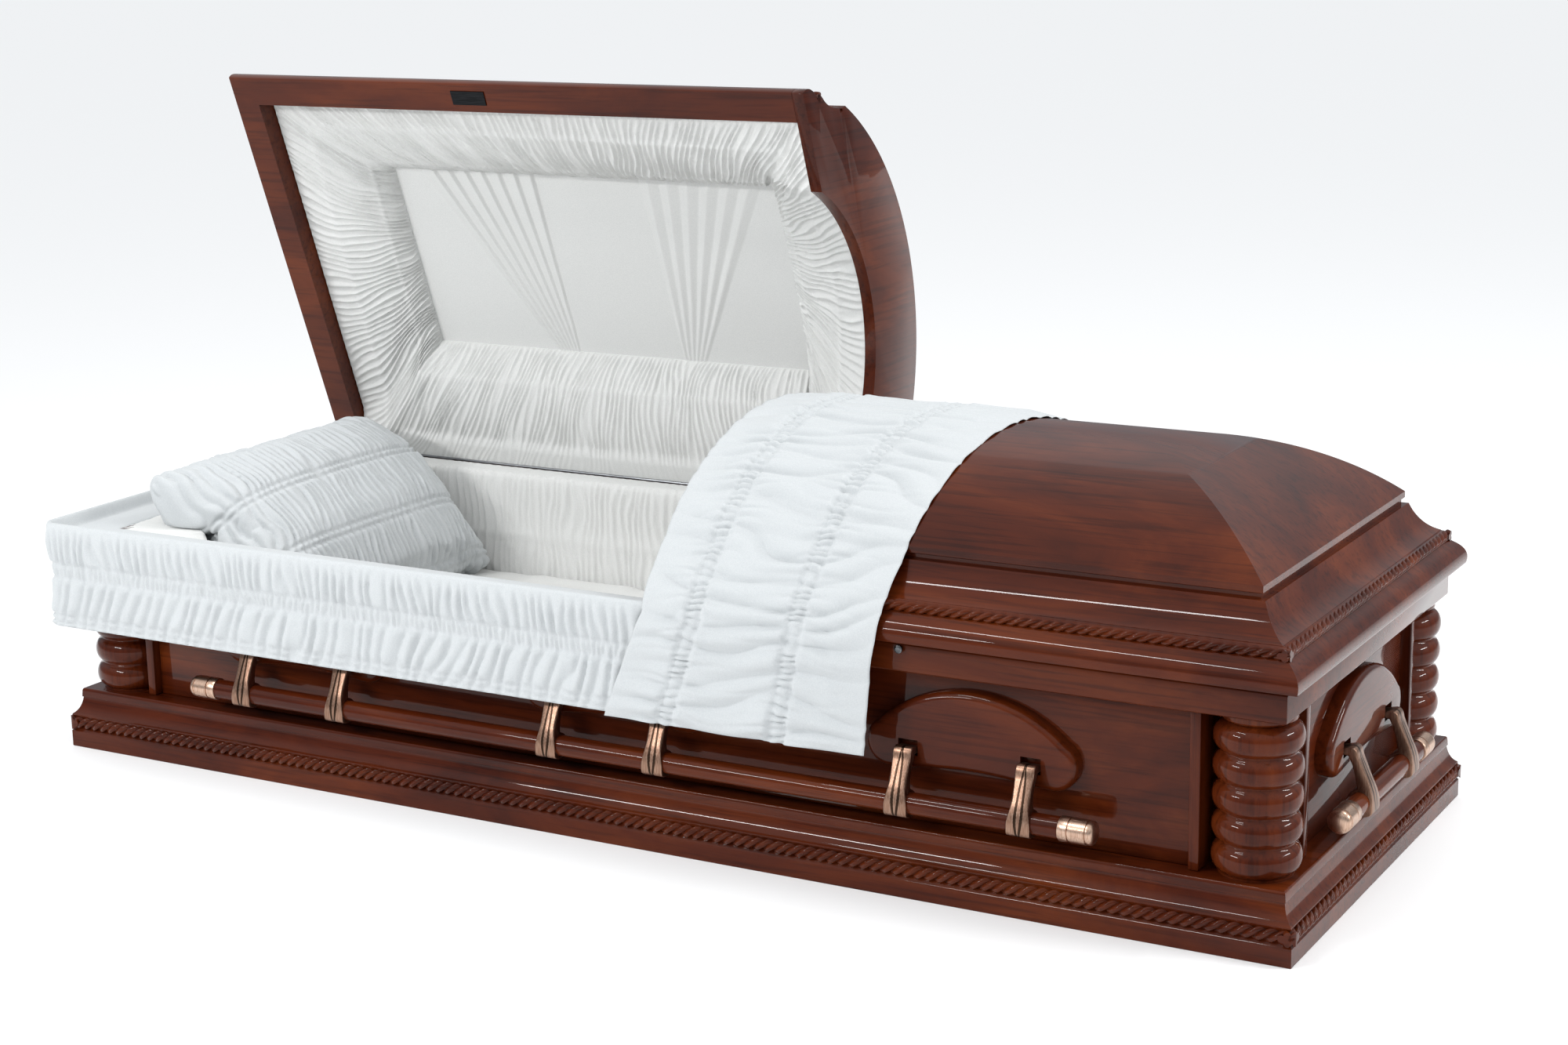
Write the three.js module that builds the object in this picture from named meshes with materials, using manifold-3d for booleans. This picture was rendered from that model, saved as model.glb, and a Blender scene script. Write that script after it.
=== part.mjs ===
// A half-couch wooden casket, with its head lid open.
//
// The frame: +X runs from the head end to the foot end, -Y is the front, +Z is up.
// The origin is the middle of the underside. All sizes are millimetres.
//
// Most shapes are drawn in two coordinates that a joiner would use:
//   inset  how far a point lies inside the outermost outline of the base
//   z      its height above the floor

import * as THREE from 'three';
import { mergeVertices } from 'three/addons/utils/BufferGeometryUtils.js';
import Module from 'manifold-3d';

const wasm = await Module();
wasm.setup();

// Overall sizes
const LENGTH = 2100;
const WIDTH = 762;
const SEAT_GAP = 0.3; // between pieces that touch

// Base moulding and bottom board
const BASE_HEIGHT = 97.5;
const FASCIA_HEIGHT = 27.5;
const BASE_BEAD_RADIUS = 11;
const BASE_BEAD_INSET = 7;
const COVE_FOOT = 55;
const COVE_HEAD = 82;
const LEDGE_INSET = 19.5;
const BASE_WALL = 40;
const LEDGE_THICKNESS = 17.5;
const BOTTOM_THICKNESS = 18;

// Walls
const PANEL_INSET = 50;
const PANEL_THICKNESS = 18;
const POST_FACE_INSET = 35;
const NOTCH_DEPTH = 142;
const POST_THICKNESS = 15;

// Turned corner columns
const COLUMN_INSET = 77;
const RING_RADIUS = 60.4;
const VALLEY_RADIUS = 47;
const COLLAR_RADIUS = 51;
const RING_COUNT = 5;
const COLUMN_SIDES = 12;

// Top rail
const RAIL_INSET = 21.5;
const RAIL_HEIGHT = 41;
const RAIL_TOP = 360.5;
const RAIL_EASE = 2;
const RAIL_OVERLAP = 0.6; // the rail reaches this far past the inside of the panels

// Lids
const LID_GAP = 5.5;
const LID_RIM_WIDTH = 50;
const LID_BEAD_RADIUS = 8.5;
const LID_BEAD_INSET = 28;
const MOULDING_HEIGHT = 100;
const CROWN_INSET = 76;
const CROWN_EDGE = 10;
const CROWN_RADIUS = 452;
const CROWN_THICKNESS = 12;
const CROWN_SEAT = 24;
const CROWN_STEPS = 12;
const GROOVE_HEIGHT = 7.7;
const GROOVE_INSET = 80;
const SPLIT_X = 80;
const SPLIT_GAP = 3;
const HEADER_THICKNESS = 20;
const ARCH_SPAN = 426;
const ARCH_RISE = 89;
const HEAD_LID_OPEN = 70; // degrees
const HINGE_RADIUS = 2.2;
const HINGE_END_MARGIN = 90;

// Lug plates, one behind each pair of handle arms
const LUG_HALF_WIDTH = 159;
const LUG_TOP = 300;
const LUG_BOTTOM = 178;
const LUG_LOBE_RADIUS = 36;
const LUG_ARC_RADIUS = 206;
const LUG_HOLLOW = 9;
const LUG_FACE_INSET = 26;
const LUG_ROUND = 10;

// Swing-bar handles
const BAR_RADIUS = 15.5;
const BAR_INSET = 2;
const BAR_HEIGHT = 140;
const SIDE_BAR_HALF = 778;
const CAP_LENGTH = 52;
const ARM_TO_CAP = 56; // from the middle of a side bar's last arm to its cap
const END_ARM_TO_CAP = 54.7; // the same on an end bar
const CAP_RADIUS = 17.5;
const BAR_SIDES = 10;
const ARM_SPREAD = 92.3;
const ARM_WALL = 3.2;
const ARM_BORE_CLEARANCE = 0.4;
const ARM_TOP_WIDTH = 28;
const ARM_WAIST_WIDTH = 24;
const ARM_FOOT_WIDTH = 35;
const PIVOT_INSET = 32;
const PIVOT_HEIGHT = 209;
const PIVOT_RADIUS = 4.5;
const SLOT_CLEARANCE = 1;
const SLOT_BELOW = 9;
const SLOT_ABOVE = 14;

// Cloth and cushions
const LINING_CLEARANCE = 1;
const LINING_THICKNESS = 12;
const LINING_CHAMFER_CLEARANCE = 2;
const MATTRESS_TOP = 188;
const MATTRESS_CLEARANCE = 2;
const MATTRESS_ROUND = 14;
const PILLOW_LENGTH = 310;
const PILLOW_WIDTH = 560;
const PILLOW_HEIGHT = 270;
const PILLOW_RAIL_CLEARANCE = 4;
const PILLOW_END_GAP = 12;
const LID_LINING_RECESS = 112;
const LID_LINING_BORDER = 148;
const LID_LINING_THICKNESS = 12;
const LID_LINING_CLEARANCE = 2;
const HEADER_BORDER = 100;
const APRON_HEM = 209;
const APRON_CREST = 22; // above the rail
const APRON_SHEET = 2.5;
const APRON_SKIRT = 9;
const APRON_STAND_OFF = 7; // in front of the base outline
const APRON_END_MARGIN = 15;
const THROW_HEM = 208;
const THROW_STAND_OFF = 21;
const THROW_THICKNESS = 3;
const THROW_CLEARANCE = 1.5;
const THROW_WIDTH = 372;
const THROW_FLARE_LEFT = 40;
const THROW_SKEW = 70;
const THROW_BACK_MARGIN = 40;

// Small metalwork
const STRIKE_X = -551;
const STRIKE_LENGTH = 66;
const STRIKE_WIDTH = 24;
const STRIKE_THICKNESS = 1.4;
const KNOB_X = 477;
const KNOB_RADIUS = 6;
const KNOB_REACH = 8;

// Heights and places that follow from the sizes
const railBottom = RAIL_TOP - RAIL_HEIGHT;
const lidBottom = RAIL_TOP + LID_GAP;
const mouldingTop = lidBottom + MOULDING_HEIGHT;
const grooveTop = mouldingTop + GROOVE_HEIGHT;
const wallFoot = BASE_HEIGHT + SEAT_GAP;
const wallTop = railBottom - SEAT_GAP;
const panelBack = PANEL_INSET + PANEL_THICKNESS;
const postBack = NOTCH_DEPTH + POST_THICKNESS;
const hingeY = WIDTH / 2 - RAIL_INSET;
const hingeZ = lidBottom - SEAT_GAP - HINGE_RADIUS;
const crownEdgeZ = grooveTop + SEAT_GAP + CROWN_EDGE;
const crownHalf = WIDTH / 2 - CROWN_INSET;
const crownCentreZ = crownEdgeZ - Math.sqrt(CROWN_RADIUS ** 2 - crownHalf ** 2);
const liningInset = panelBack + LINING_CLEARANCE;
const lugSpacing = SIDE_BAR_HALF - CAP_LENGTH - ARM_TO_CAP - ARM_SPREAD;
const endBarHalf = ARM_SPREAD + END_ARM_TO_CAP + CAP_LENGTH;

// Finishes
const finish = (color, roughness, metalness = 0) =>
  new THREE.MeshStandardMaterial({ color, roughness, metalness });
const lacqueredWood = finish(0x5a2113, 0.16);
const antiqueCopper = finish(0xb47855, 0.38, 0.9);
const hingeSteel = finish(0x8d8478, 0.4, 0.9);
const blackSteel = finish(0x17181a, 0.45, 0.6);
const greySteel = finish(0x8b8d90, 0.3, 0.9);
const whiteCrepe = finish(0xf1f1ef, 0.85);

// Closed meshes

// Merges the corners of a mesh, drops empty triangles and turns its faces outwards.
function closed(geometry) {
  geometry.deleteAttribute('normal');
  geometry.deleteAttribute('uv');
  const merged = mergeVertices(geometry, 1e-3);
  const position = merged.getAttribute('position');
  const corner = (i) => new THREE.Vector3().fromBufferAttribute(position, i);
  const kept = [];
  let volume = 0;
  for (let i = 0; i < merged.index.count; i += 3) {
    const [a, b, c] = [0, 1, 2].map((k) => merged.index.getX(i + k));
    if (a !== b && b !== c && c !== a) {
      kept.push(a, b, c);
      volume += corner(a).dot(corner(b).cross(corner(c)));
    }
  }
  if (volume < 0) kept.reverse();
  merged.setIndex(kept);
  return merged;
}

// Skins a row of corner loops of equal length. A ring joins the last loop to the first one,
// and an open row is closed by a flat face at each end.
function skin(loops, isRing = false) {
  const size = loops[0].length;
  const index = [];
  const spans = isRing ? loops.length : loops.length - 1;
  for (let i = 0; i < spans; i += 1) {
    const near = i * size;
    const far = ((i + 1) % loops.length) * size;
    for (let j = 0; j < size; j += 1) {
      const k = (j + 1) % size;
      index.push(near + j, near + k, far + k, near + j, far + k, far + j);
    }
  }
  if (!isRing) {
    const last = (loops.length - 1) * size;
    for (let j = 1; j < size - 1; j += 1) {
      index.push(0, j + 1, j, last, last + j, last + j + 1);
    }
  }
  const geometry = new THREE.BufferGeometry();
  const numbers = loops.flat().flatMap((p) => [p.x, p.y, p.z]);
  geometry.setAttribute('position', new THREE.Float32BufferAttribute(numbers, 3));
  geometry.setIndex(index);
  return closed(geometry);
}

// Extrudes a flat outline between two depths. The place function says where a point
// of the outline (a, b) at a depth goes.
function prism(outline, from, to, place, holes = []) {
  const shape = new THREE.Shape(outline);
  shape.holes.push(...holes.map((hole) => new THREE.Path(hole)));
  const geometry = new THREE.ExtrudeGeometry(shape, { depth: to - from, bevelEnabled: false });
  return placed(geometry, (p) => place(p.x, p.y, p.z + from));
}

function placed(geometry, move) {
  const position = geometry.getAttribute('position');
  for (let i = 0; i < position.count; i += 1) {
    const p = move(new THREE.Vector3().fromBufferAttribute(position, i));
    position.setXYZ(i, p.x, p.y, p.z);
  }
  return closed(geometry);
}

function toManifold(geometry) {
  const position = geometry.getAttribute('position');
  return new wasm.Manifold(new wasm.Mesh({
    numProp: 3,
    vertProperties: new Float32Array(position.array),
    triVerts: new Uint32Array(geometry.index.array),
  }));
}

function fromManifold(solid) {
  const mesh = solid.getMesh();
  const geometry = new THREE.BufferGeometry();
  geometry.setAttribute('position', new THREE.BufferAttribute(mesh.vertProperties, 3));
  geometry.setIndex([...mesh.triVerts]);
  return closed(geometry);
}

function box(x0, x1, y0, y1, z0, z1) {
  const geometry = new THREE.BoxGeometry(x1 - x0, y1 - y0, z1 - z0);
  geometry.translate((x0 + x1) / 2, (y0 + y1) / 2, (z0 + z1) / 2);
  return closed(geometry);
}

const point2 = (a, b) => new THREE.Vector2(a, b);
const onPlan = (a, b, depth) => new THREE.Vector3(a, b, depth);
const onSection = (inset, z, x) => new THREE.Vector3(x, inset - WIDTH / 2, z);

// Points of a hollow or full curve that bends towards a third point
function bend(start, towards, end, steps) {
  return new THREE.QuadraticBezierCurve(start, towards, end).getPoints(steps);
}

// A plain bead, the body of the carved rope: an arc that faces outwards
function bead(inset, z, radius, steps = 5) {
  const sweep = THREE.MathUtils.degToRad(75);
  return Array.from({ length: steps + 1 }, (_, i) => {
    const angle = -sweep + (2 * sweep * i) / steps;
    return point2(inset - radius * Math.cos(angle), z + radius * Math.sin(angle));
  });
}

// A frame with mitred corners, from its section in inset and z
function mitredFrame(section) {
  return skin(section.map(({ x: inset, y: z }) => rectangleLoop(inset, inset, inset, inset, z)), true);
}

// The corners of a level rectangle, from its inset at the head, foot, front and back
function rectangleLoop(head, foot, front, back, z) {
  const x0 = head - LENGTH / 2;
  const x1 = LENGTH / 2 - foot;
  const y0 = front - WIDTH / 2;
  const y1 = WIDTH / 2 - back;
  return [[x0, y0], [x1, y0], [x1, y1], [x0, y1]].map(([x, y]) => new THREE.Vector3(x, y, z));
}

// The scene graph

const casket = new THREE.Group();
casket.name = 'casket';

function add(parent, name, geometry, material) {
  const mesh = new THREE.Mesh(geometry, material);
  mesh.name = name;
  parent.add(mesh);
  return mesh;
}

// The four walls. Inside a wall's group, x runs along the wall and y is the inset.
const walls = [
  { name: 'front', turn: 0, depth: WIDTH / 2, half: LENGTH / 2 },
  { name: 'foot_end', turn: 90, depth: LENGTH / 2, half: WIDTH / 2 },
  { name: 'back', turn: 180, depth: WIDTH / 2, half: LENGTH / 2 },
  { name: 'head_end', turn: 270, depth: LENGTH / 2, half: WIDTH / 2 },
];

function wallGroup(wall) {
  const turned = new THREE.Group();
  const face = new THREE.Group();
  turned.rotation.z = THREE.MathUtils.degToRad(wall.turn);
  face.position.y = -wall.depth;
  turned.add(face);
  casket.add(turned);
  return face;
}

// The four corners. Inside a corner's group, x and y are the two insets.
const corners = [
  { name: 'front_head', turn: 0, x: -1, y: -1 },
  { name: 'front_foot', turn: 90, x: 1, y: -1 },
  { name: 'back_foot', turn: 180, x: 1, y: 1 },
  { name: 'back_head', turn: 270, x: -1, y: 1 },
];

function cornerGroup(corner) {
  const group = new THREE.Group();
  group.position.set((corner.x * LENGTH) / 2, (corner.y * WIDTH) / 2, 0);
  group.rotation.z = THREE.MathUtils.degToRad(corner.turn);
  casket.add(group);
  return group;
}

// Base: a mitred frame of fascia, bead, cove and ledge, round a bottom board

function baseSection() {
  const beadZ = (FASCIA_HEIGHT + COVE_FOOT - 1.5) / 2;
  return [
    point2(0, 0),
    point2(0, FASCIA_HEIGHT),
    ...bead(BASE_BEAD_INSET, beadZ, BASE_BEAD_RADIUS),
    point2(2, COVE_FOOT - 1.5),
    ...bend(point2(2, COVE_FOOT), point2(13, COVE_FOOT + 7), point2(16, COVE_HEAD), 4),
    point2(14.5, COVE_HEAD + 1.5),
    point2(15.5, BASE_HEIGHT - 3.5),
    point2(LEDGE_INSET, BASE_HEIGHT),
    point2(postBack + 3, BASE_HEIGHT),
    point2(postBack + 3, BASE_HEIGHT - LEDGE_THICKNESS),
    point2(BASE_WALL, BASE_HEIGHT - LEDGE_THICKNESS),
    point2(BASE_WALL, 0),
  ];
}

function addBase() {
  add(casket, 'base_moulding', mitredFrame(baseSection()), lacqueredWood);
  const inset = BASE_WALL + SEAT_GAP;
  const halfX = LENGTH / 2 - inset;
  const halfY = WIDTH / 2 - inset;
  add(casket, 'bottom_board', box(-halfX, halfX, -halfY, halfY, 0, BOTTOM_THICKNESS), lacqueredWood);
}

// Walls: four panels between corner posts, whose notches hold the columns

function addWalls() {
  for (const wall of walls) {
    const end = wall.half - postBack - SEAT_GAP;
    const panel = box(-end, end, PANEL_INSET, panelBack, wallFoot, wallTop);
    add(wallGroup(wall), `${wall.name}_panel`, panel, lacqueredWood);
  }
  const post = [
    point2(NOTCH_DEPTH, POST_FACE_INSET),
    point2(postBack, POST_FACE_INSET),
    point2(postBack, postBack),
    point2(POST_FACE_INSET, postBack),
    point2(POST_FACE_INSET, NOTCH_DEPTH),
    point2(NOTCH_DEPTH, NOTCH_DEPTH),
  ];
  for (const corner of corners) {
    const group = cornerGroup(corner);
    add(group, `corner_post_${corner.name}`, prism(post, wallFoot, wallTop, onPlan), lacqueredWood);
    const column = add(group, `column_${corner.name}`, columnGeometry(), lacqueredWood);
    column.position.set(COLUMN_INSET, COLUMN_INSET, 0);
  }
}

// One turning: a collar, a stack of full rings and a neck under the rail
function columnGeometry() {
  const collarTop = wallFoot + 3;
  const neckFoot = wallTop - 12.5;
  const pitch = (neckFoot - collarTop) / RING_COUNT;
  const profile = [point2(0, wallFoot), point2(COLLAR_RADIUS, wallFoot)];
  for (let i = 0; i < RING_COUNT; i += 1) {
    const foot = collarTop + i * pitch;
    profile.push(point2(VALLEY_RADIUS, foot));
    profile.push(point2(RING_RADIUS - 3.5, foot + 0.2 * pitch));
    profile.push(point2(RING_RADIUS, foot + 0.5 * pitch));
    profile.push(point2(RING_RADIUS - 3.5, foot + 0.8 * pitch));
  }
  profile.push(point2(VALLEY_RADIUS, neckFoot));
  profile.push(point2(COLLAR_RADIUS, neckFoot + 4));
  profile.push(point2(COLLAR_RADIUS, wallTop), point2(0, wallTop));
  return turned(profile, COLUMN_SIDES);
}

// A turning about Z, from radius and height
function turned(profile, sides) {
  const lathe = new THREE.LatheGeometry(profile, sides);
  return placed(lathe, (p) => new THREE.Vector3(p.x, p.z, p.y));
}

// Top rail: a level frame whose inside corners cover the posts

function addRail() {
  const inner = panelBack + RAIL_OVERLAP;
  const block = postBack + SEAT_GAP;
  const outerX = LENGTH / 2 - RAIL_INSET;
  const outerY = WIDTH / 2 - RAIL_INSET;
  const rim = [[-1, -1], [1, -1], [1, 1], [-1, 1]].map(([i, j]) => point2(i * outerX, j * outerY));
  const opening = [];
  for (const [i, j] of [[-1, -1], [1, -1], [1, 1], [-1, 1]]) {
    const side = point2(i * (LENGTH / 2 - block), j * (WIDTH / 2 - inner));
    const nook = point2(i * (LENGTH / 2 - block), j * (WIDTH / 2 - block));
    const end = point2(i * (LENGTH / 2 - inner), j * (WIDTH / 2 - block));
    opening.push(...(i * j > 0 ? [end, nook, side] : [side, nook, end]));
  }
  const shape = new THREE.Shape(rim);
  shape.holes.push(new THREE.Path(opening));
  const rail = new THREE.ExtrudeGeometry(shape, {
    depth: RAIL_HEIGHT - 2 * RAIL_EASE,
    bevelThickness: RAIL_EASE,
    bevelSize: RAIL_EASE,
    bevelOffset: -RAIL_EASE,
    bevelSegments: 1,
  });
  rail.translate(0, 0, railBottom + RAIL_EASE);
  add(casket, 'top_rail', closed(rail), lacqueredWood);
}

// Lids: each is a mitred moulding, a hollow crown and a header board at the split

function mouldingOutside() {
  const beadZ = lidBottom + 45;
  return [
    point2(2, lidBottom),
    point2(0, lidBottom + 13),
    point2(3, lidBottom + 23),
    point2(10, lidBottom + 32),
    point2(19, lidBottom + 37),
    ...bead(LID_BEAD_INSET, beadZ, LID_BEAD_RADIUS, 4),
    ...bend(point2(33, lidBottom + 55), point2(58, lidBottom + 66), point2(71, mouldingTop - 0.5), 4),
    point2(71, mouldingTop),
    point2(GROOVE_INSET, mouldingTop),
    point2(GROOVE_INSET, grooveTop),
  ];
}

function mouldingInside() {
  const seat = CROWN_INSET + CROWN_SEAT;
  return [
    point2(seat, grooveTop),
    point2(seat, mouldingTop),
    point2(LID_RIM_WIDTH + 22, mouldingTop - 36),
    point2(LID_RIM_WIDTH, mouldingTop - 62),
    point2(LID_RIM_WIDTH, lidBottom),
  ];
}

// Points of the crown's arc, from an inset up to the ridge
function crownArc(inset, radius) {
  const sweep = Math.asin((WIDTH / 2 - inset) / radius);
  return Array.from({ length: CROWN_STEPS + 1 }, (_, i) => {
    const angle = sweep * (1 - i / CROWN_STEPS);
    return point2(WIDTH / 2 - radius * Math.sin(angle), crownCentreZ + radius * Math.cos(angle));
  });
}

function crownGeometry() {
  const foot = grooveTop + SEAT_GAP;
  const seat = CROWN_INSET + CROWN_SEAT;
  const section = [
    ...crownArc(CROWN_INSET, CROWN_RADIUS).reverse(),
    point2(CROWN_INSET, foot),
    point2(seat, foot),
    ...crownArc(seat, CROWN_RADIUS - CROWN_THICKNESS),
  ];
  return skin(section.map(({ x: inset, y: z }) => rectangleLoop(inset, inset, inset, inset, z)));
}

function headerOutline() {
  const half = [
    ...mouldingOutside(),
    point2(CROWN_INSET, grooveTop),
    ...crownArc(CROWN_INSET, CROWN_RADIUS),
  ];
  const mirrored = half.slice(0, -1).reverse().map((p) => point2(WIDTH - p.x, p.y));
  const radius = ((ARCH_SPAN / 2) ** 2 + ARCH_RISE ** 2) / (2 * ARCH_RISE);
  const sweep = Math.asin(ARCH_SPAN / 2 / radius);
  const arch = Array.from({ length: 11 }, (_, i) => {
    const angle = sweep * (1 - i / 5);
    return point2(
      WIDTH / 2 + radius * Math.sin(angle),
      lidBottom + ARCH_RISE - radius + radius * Math.cos(angle),
    );
  });
  return [...half, ...mirrored, ...arch];
}

// A lid's group turns about the hinge line; what is put in it is drawn with the lid shut.
function lidGroup(degrees) {
  const hinge = new THREE.Group();
  const lid = new THREE.Group();
  hinge.position.set(0, hingeY, hingeZ);
  hinge.rotation.x = -THREE.MathUtils.degToRad(degrees);
  lid.position.set(0, -hingeY, -hingeZ);
  hinge.add(lid);
  casket.add(hinge);
  return lid;
}

function addLid(name, degrees, from, to, headerSide) {
  const group = lidGroup(degrees);
  const cutFrom = headerSide < 0 ? from + HEADER_THICKNESS + SEAT_GAP : from;
  const cutTo = headerSide > 0 ? to - HEADER_THICKNESS - SEAT_GAP : to;
  const stretch = toManifold(box(cutFrom, cutTo, -WIDTH, WIDTH, 0, 2 * mouldingTop));
  const moulding = toManifold(mitredFrame([...mouldingOutside(), ...mouldingInside()]));
  const crown = toManifold(crownGeometry());
  const headerFrom = headerSide < 0 ? from : to - HEADER_THICKNESS;
  const header = prism(headerOutline(), headerFrom, headerFrom + HEADER_THICKNESS, onSection);
  add(group, `${name}_moulding`, fromManifold(moulding.intersect(stretch)), lacqueredWood);
  add(group, `${name}_crown`, fromManifold(crown.intersect(stretch)), lacqueredWood);
  add(group, `${name}_header`, header, lacqueredWood);
  return group;
}

// A hinge barrel lies in the gap between the rail and a lid, along the back
function addHinge(name, from, to) {
  const ends = [from + HINGE_END_MARGIN, to - HINGE_END_MARGIN];
  const barrel = turned([
    point2(0, ends[0]),
    point2(HINGE_RADIUS, ends[0]),
    point2(HINGE_RADIUS, ends[1]),
    point2(0, ends[1]),
  ], 8);
  const along = placed(barrel, (p) => new THREE.Vector3(p.z, hingeY + p.x, hingeZ + p.y));
  add(casket, `${name}_hinge`, along, hingeSteel);
}

// The head lid's lining: a recessed panel with a wide sloping border
function addHeadLidLining(group, lidEnd) {
  const foot = lidBottom + LID_LINING_CLEARANCE;
  const panelZ = foot + LID_LINING_RECESS;
  const headerFace = LENGTH / 2 - (lidEnd - HEADER_THICKNESS) + SEAT_GAP;
  const rim = LID_RIM_WIDTH + LID_LINING_CLEARANCE;
  const slope = LID_LINING_BORDER;
  const wall = LID_LINING_THICKNESS;
  const loops = [
    rectangleLoop(rim + slope, headerFace + HEADER_BORDER, rim + slope, rim + slope, panelZ + wall),
    rectangleLoop(rim, headerFace, rim, rim, foot),
    rectangleLoop(rim + wall, headerFace + wall, rim + wall, rim + wall, foot),
    rectangleLoop(
      rim + slope + wall,
      headerFace + HEADER_BORDER + wall,
      rim + slope + wall,
      rim + slope + wall,
      panelZ,
    ),
  ];
  add(group, 'head_lid_lining', skin(loops), whiteCrepe);
}

function addLids() {
  const headEnd = SPLIT_X - SPLIT_GAP / 2;
  const footStart = SPLIT_X + SPLIT_GAP / 2;
  const headLid = addLid('head_lid', HEAD_LID_OPEN, -LENGTH / 2, headEnd, 1);
  const footLid = addLid('foot_lid', 0, footStart, LENGTH / 2, -1);
  addHinge('head_lid', -LENGTH / 2, headEnd);
  addHinge('foot_lid', footStart, LENGTH / 2);
  addHeadLidLining(headLid, headEnd);
  const strikeY = LID_RIM_WIDTH / 2 + 1 - WIDTH / 2;
  const strike = box(
    STRIKE_X - STRIKE_LENGTH / 2,
    STRIKE_X + STRIKE_LENGTH / 2,
    strikeY - STRIKE_WIDTH / 2,
    strikeY + STRIKE_WIDTH / 2,
    lidBottom - SEAT_GAP - STRIKE_THICKNESS,
    lidBottom - SEAT_GAP,
  );
  add(headLid, 'strike_plate', strike, blackSteel);
  addThrow(footLid, footStart);
}

// Lug plates: kidney-shaped boards with rounded edges and a slot for each arm

function lugOutline(shrink) {
  const lobeX = LUG_HALF_WIDTH - LUG_LOBE_RADIUS;
  const lobeZ = LUG_BOTTOM + LUG_LOBE_RADIUS;
  const arcZ = LUG_TOP - LUG_ARC_RADIUS;
  const lobe = LUG_LOBE_RADIUS - shrink;
  const meet = Math.atan2(lobeZ - arcZ, lobeX);
  const arc = (cx, cz, radius, from, to, steps) => Array.from({ length: steps + 1 }, (_, i) => {
    const angle = from + ((to - from) * i) / steps;
    return point2(cx + radius * Math.cos(angle), cz + radius * Math.sin(angle));
  });
  const down = -Math.PI / 2;
  const right = arc(lobeX, lobeZ, lobe, down, meet, 5);
  const top = arc(0, arcZ, LUG_ARC_RADIUS - shrink, meet, Math.PI - meet, 8).slice(1, -1);
  const left = right.map((p) => point2(-p.x, p.y)).reverse();
  const hollowTop = LUG_BOTTOM + LUG_HOLLOW + shrink;
  return [...right, ...top, ...left, point2(-lobeX / 2, hollowTop - 2), point2(0, hollowTop),
    point2(lobeX / 2, hollowTop - 2)];
}

function lugGeometry() {
  const back = PANEL_INSET - SEAT_GAP;
  const loops = [
    [0, back],
    [0, LUG_FACE_INSET + LUG_ROUND],
    [0.3 * LUG_ROUND, LUG_FACE_INSET + 0.3 * LUG_ROUND],
    [LUG_ROUND, LUG_FACE_INSET],
  ].map(([shrink, inset]) => lugOutline(shrink).map((p) => new THREE.Vector3(p.x, inset, p.y)));
  const plate = toManifold(cappedByShape(loops));
  const half = ARM_TOP_WIDTH / 2 + SLOT_CLEARANCE;
  const depth = PIVOT_INSET + PIVOT_RADIUS + SLOT_CLEARANCE;
  const slots = [-1, 1].map((side) => toManifold(box(
    side * ARM_SPREAD - half,
    side * ARM_SPREAD + half,
    LUG_FACE_INSET - LUG_ROUND,
    depth,
    PIVOT_HEIGHT - SLOT_BELOW,
    PIVOT_HEIGHT + SLOT_ABOVE,
  )));
  return fromManifold(plate.subtract(slots[0]).subtract(slots[1]));
}

// Skins loops whose end faces are not convex: the end faces come from the flat outline
function cappedByShape(loops) {
  const size = loops[0].length;
  const index = [];
  for (let i = 0; i < loops.length - 1; i += 1) {
    for (let j = 0; j < size; j += 1) {
      const k = (j + 1) % size;
      const near = i * size;
      const far = near + size;
      index.push(near + j, far + k, near + k, near + j, far + j, far + k);
    }
  }
  const flat = loops.map((loop) => loop.map((p) => point2(p.x, p.z)));
  const last = (loops.length - 1) * size;
  for (const [a, b, c] of THREE.ShapeUtils.triangulateShape(flat[0], [])) index.push(a, b, c);
  for (const [a, b, c] of THREE.ShapeUtils.triangulateShape(flat.at(-1), [])) {
    index.push(last + a, last + c, last + b);
  }
  const geometry = new THREE.BufferGeometry();
  const numbers = loops.flat().flatMap((p) => [p.x, p.y, p.z]);
  geometry.setAttribute('position', new THREE.Float32BufferAttribute(numbers, 3));
  geometry.setIndex(index);
  return closed(geometry);
}

// Handles: arms that hang from the lug plates and carry a bar with a cap at each end

// The width of an arm's strap, by height
function armWidth(z) {
  const waistZ = (PIVOT_HEIGHT + BAR_HEIGHT) / 2;
  const above = THREE.MathUtils.smoothstep(z, waistZ, PIVOT_HEIGHT);
  const below = 1 - THREE.MathUtils.smoothstep(z, BAR_HEIGHT - 4, waistZ);
  return ARM_WAIST_WIDTH + above * (ARM_TOP_WIDTH - ARM_WAIST_WIDTH)
    + below * (ARM_FOOT_WIDTH - ARM_WAIST_WIDTH);
}

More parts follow.
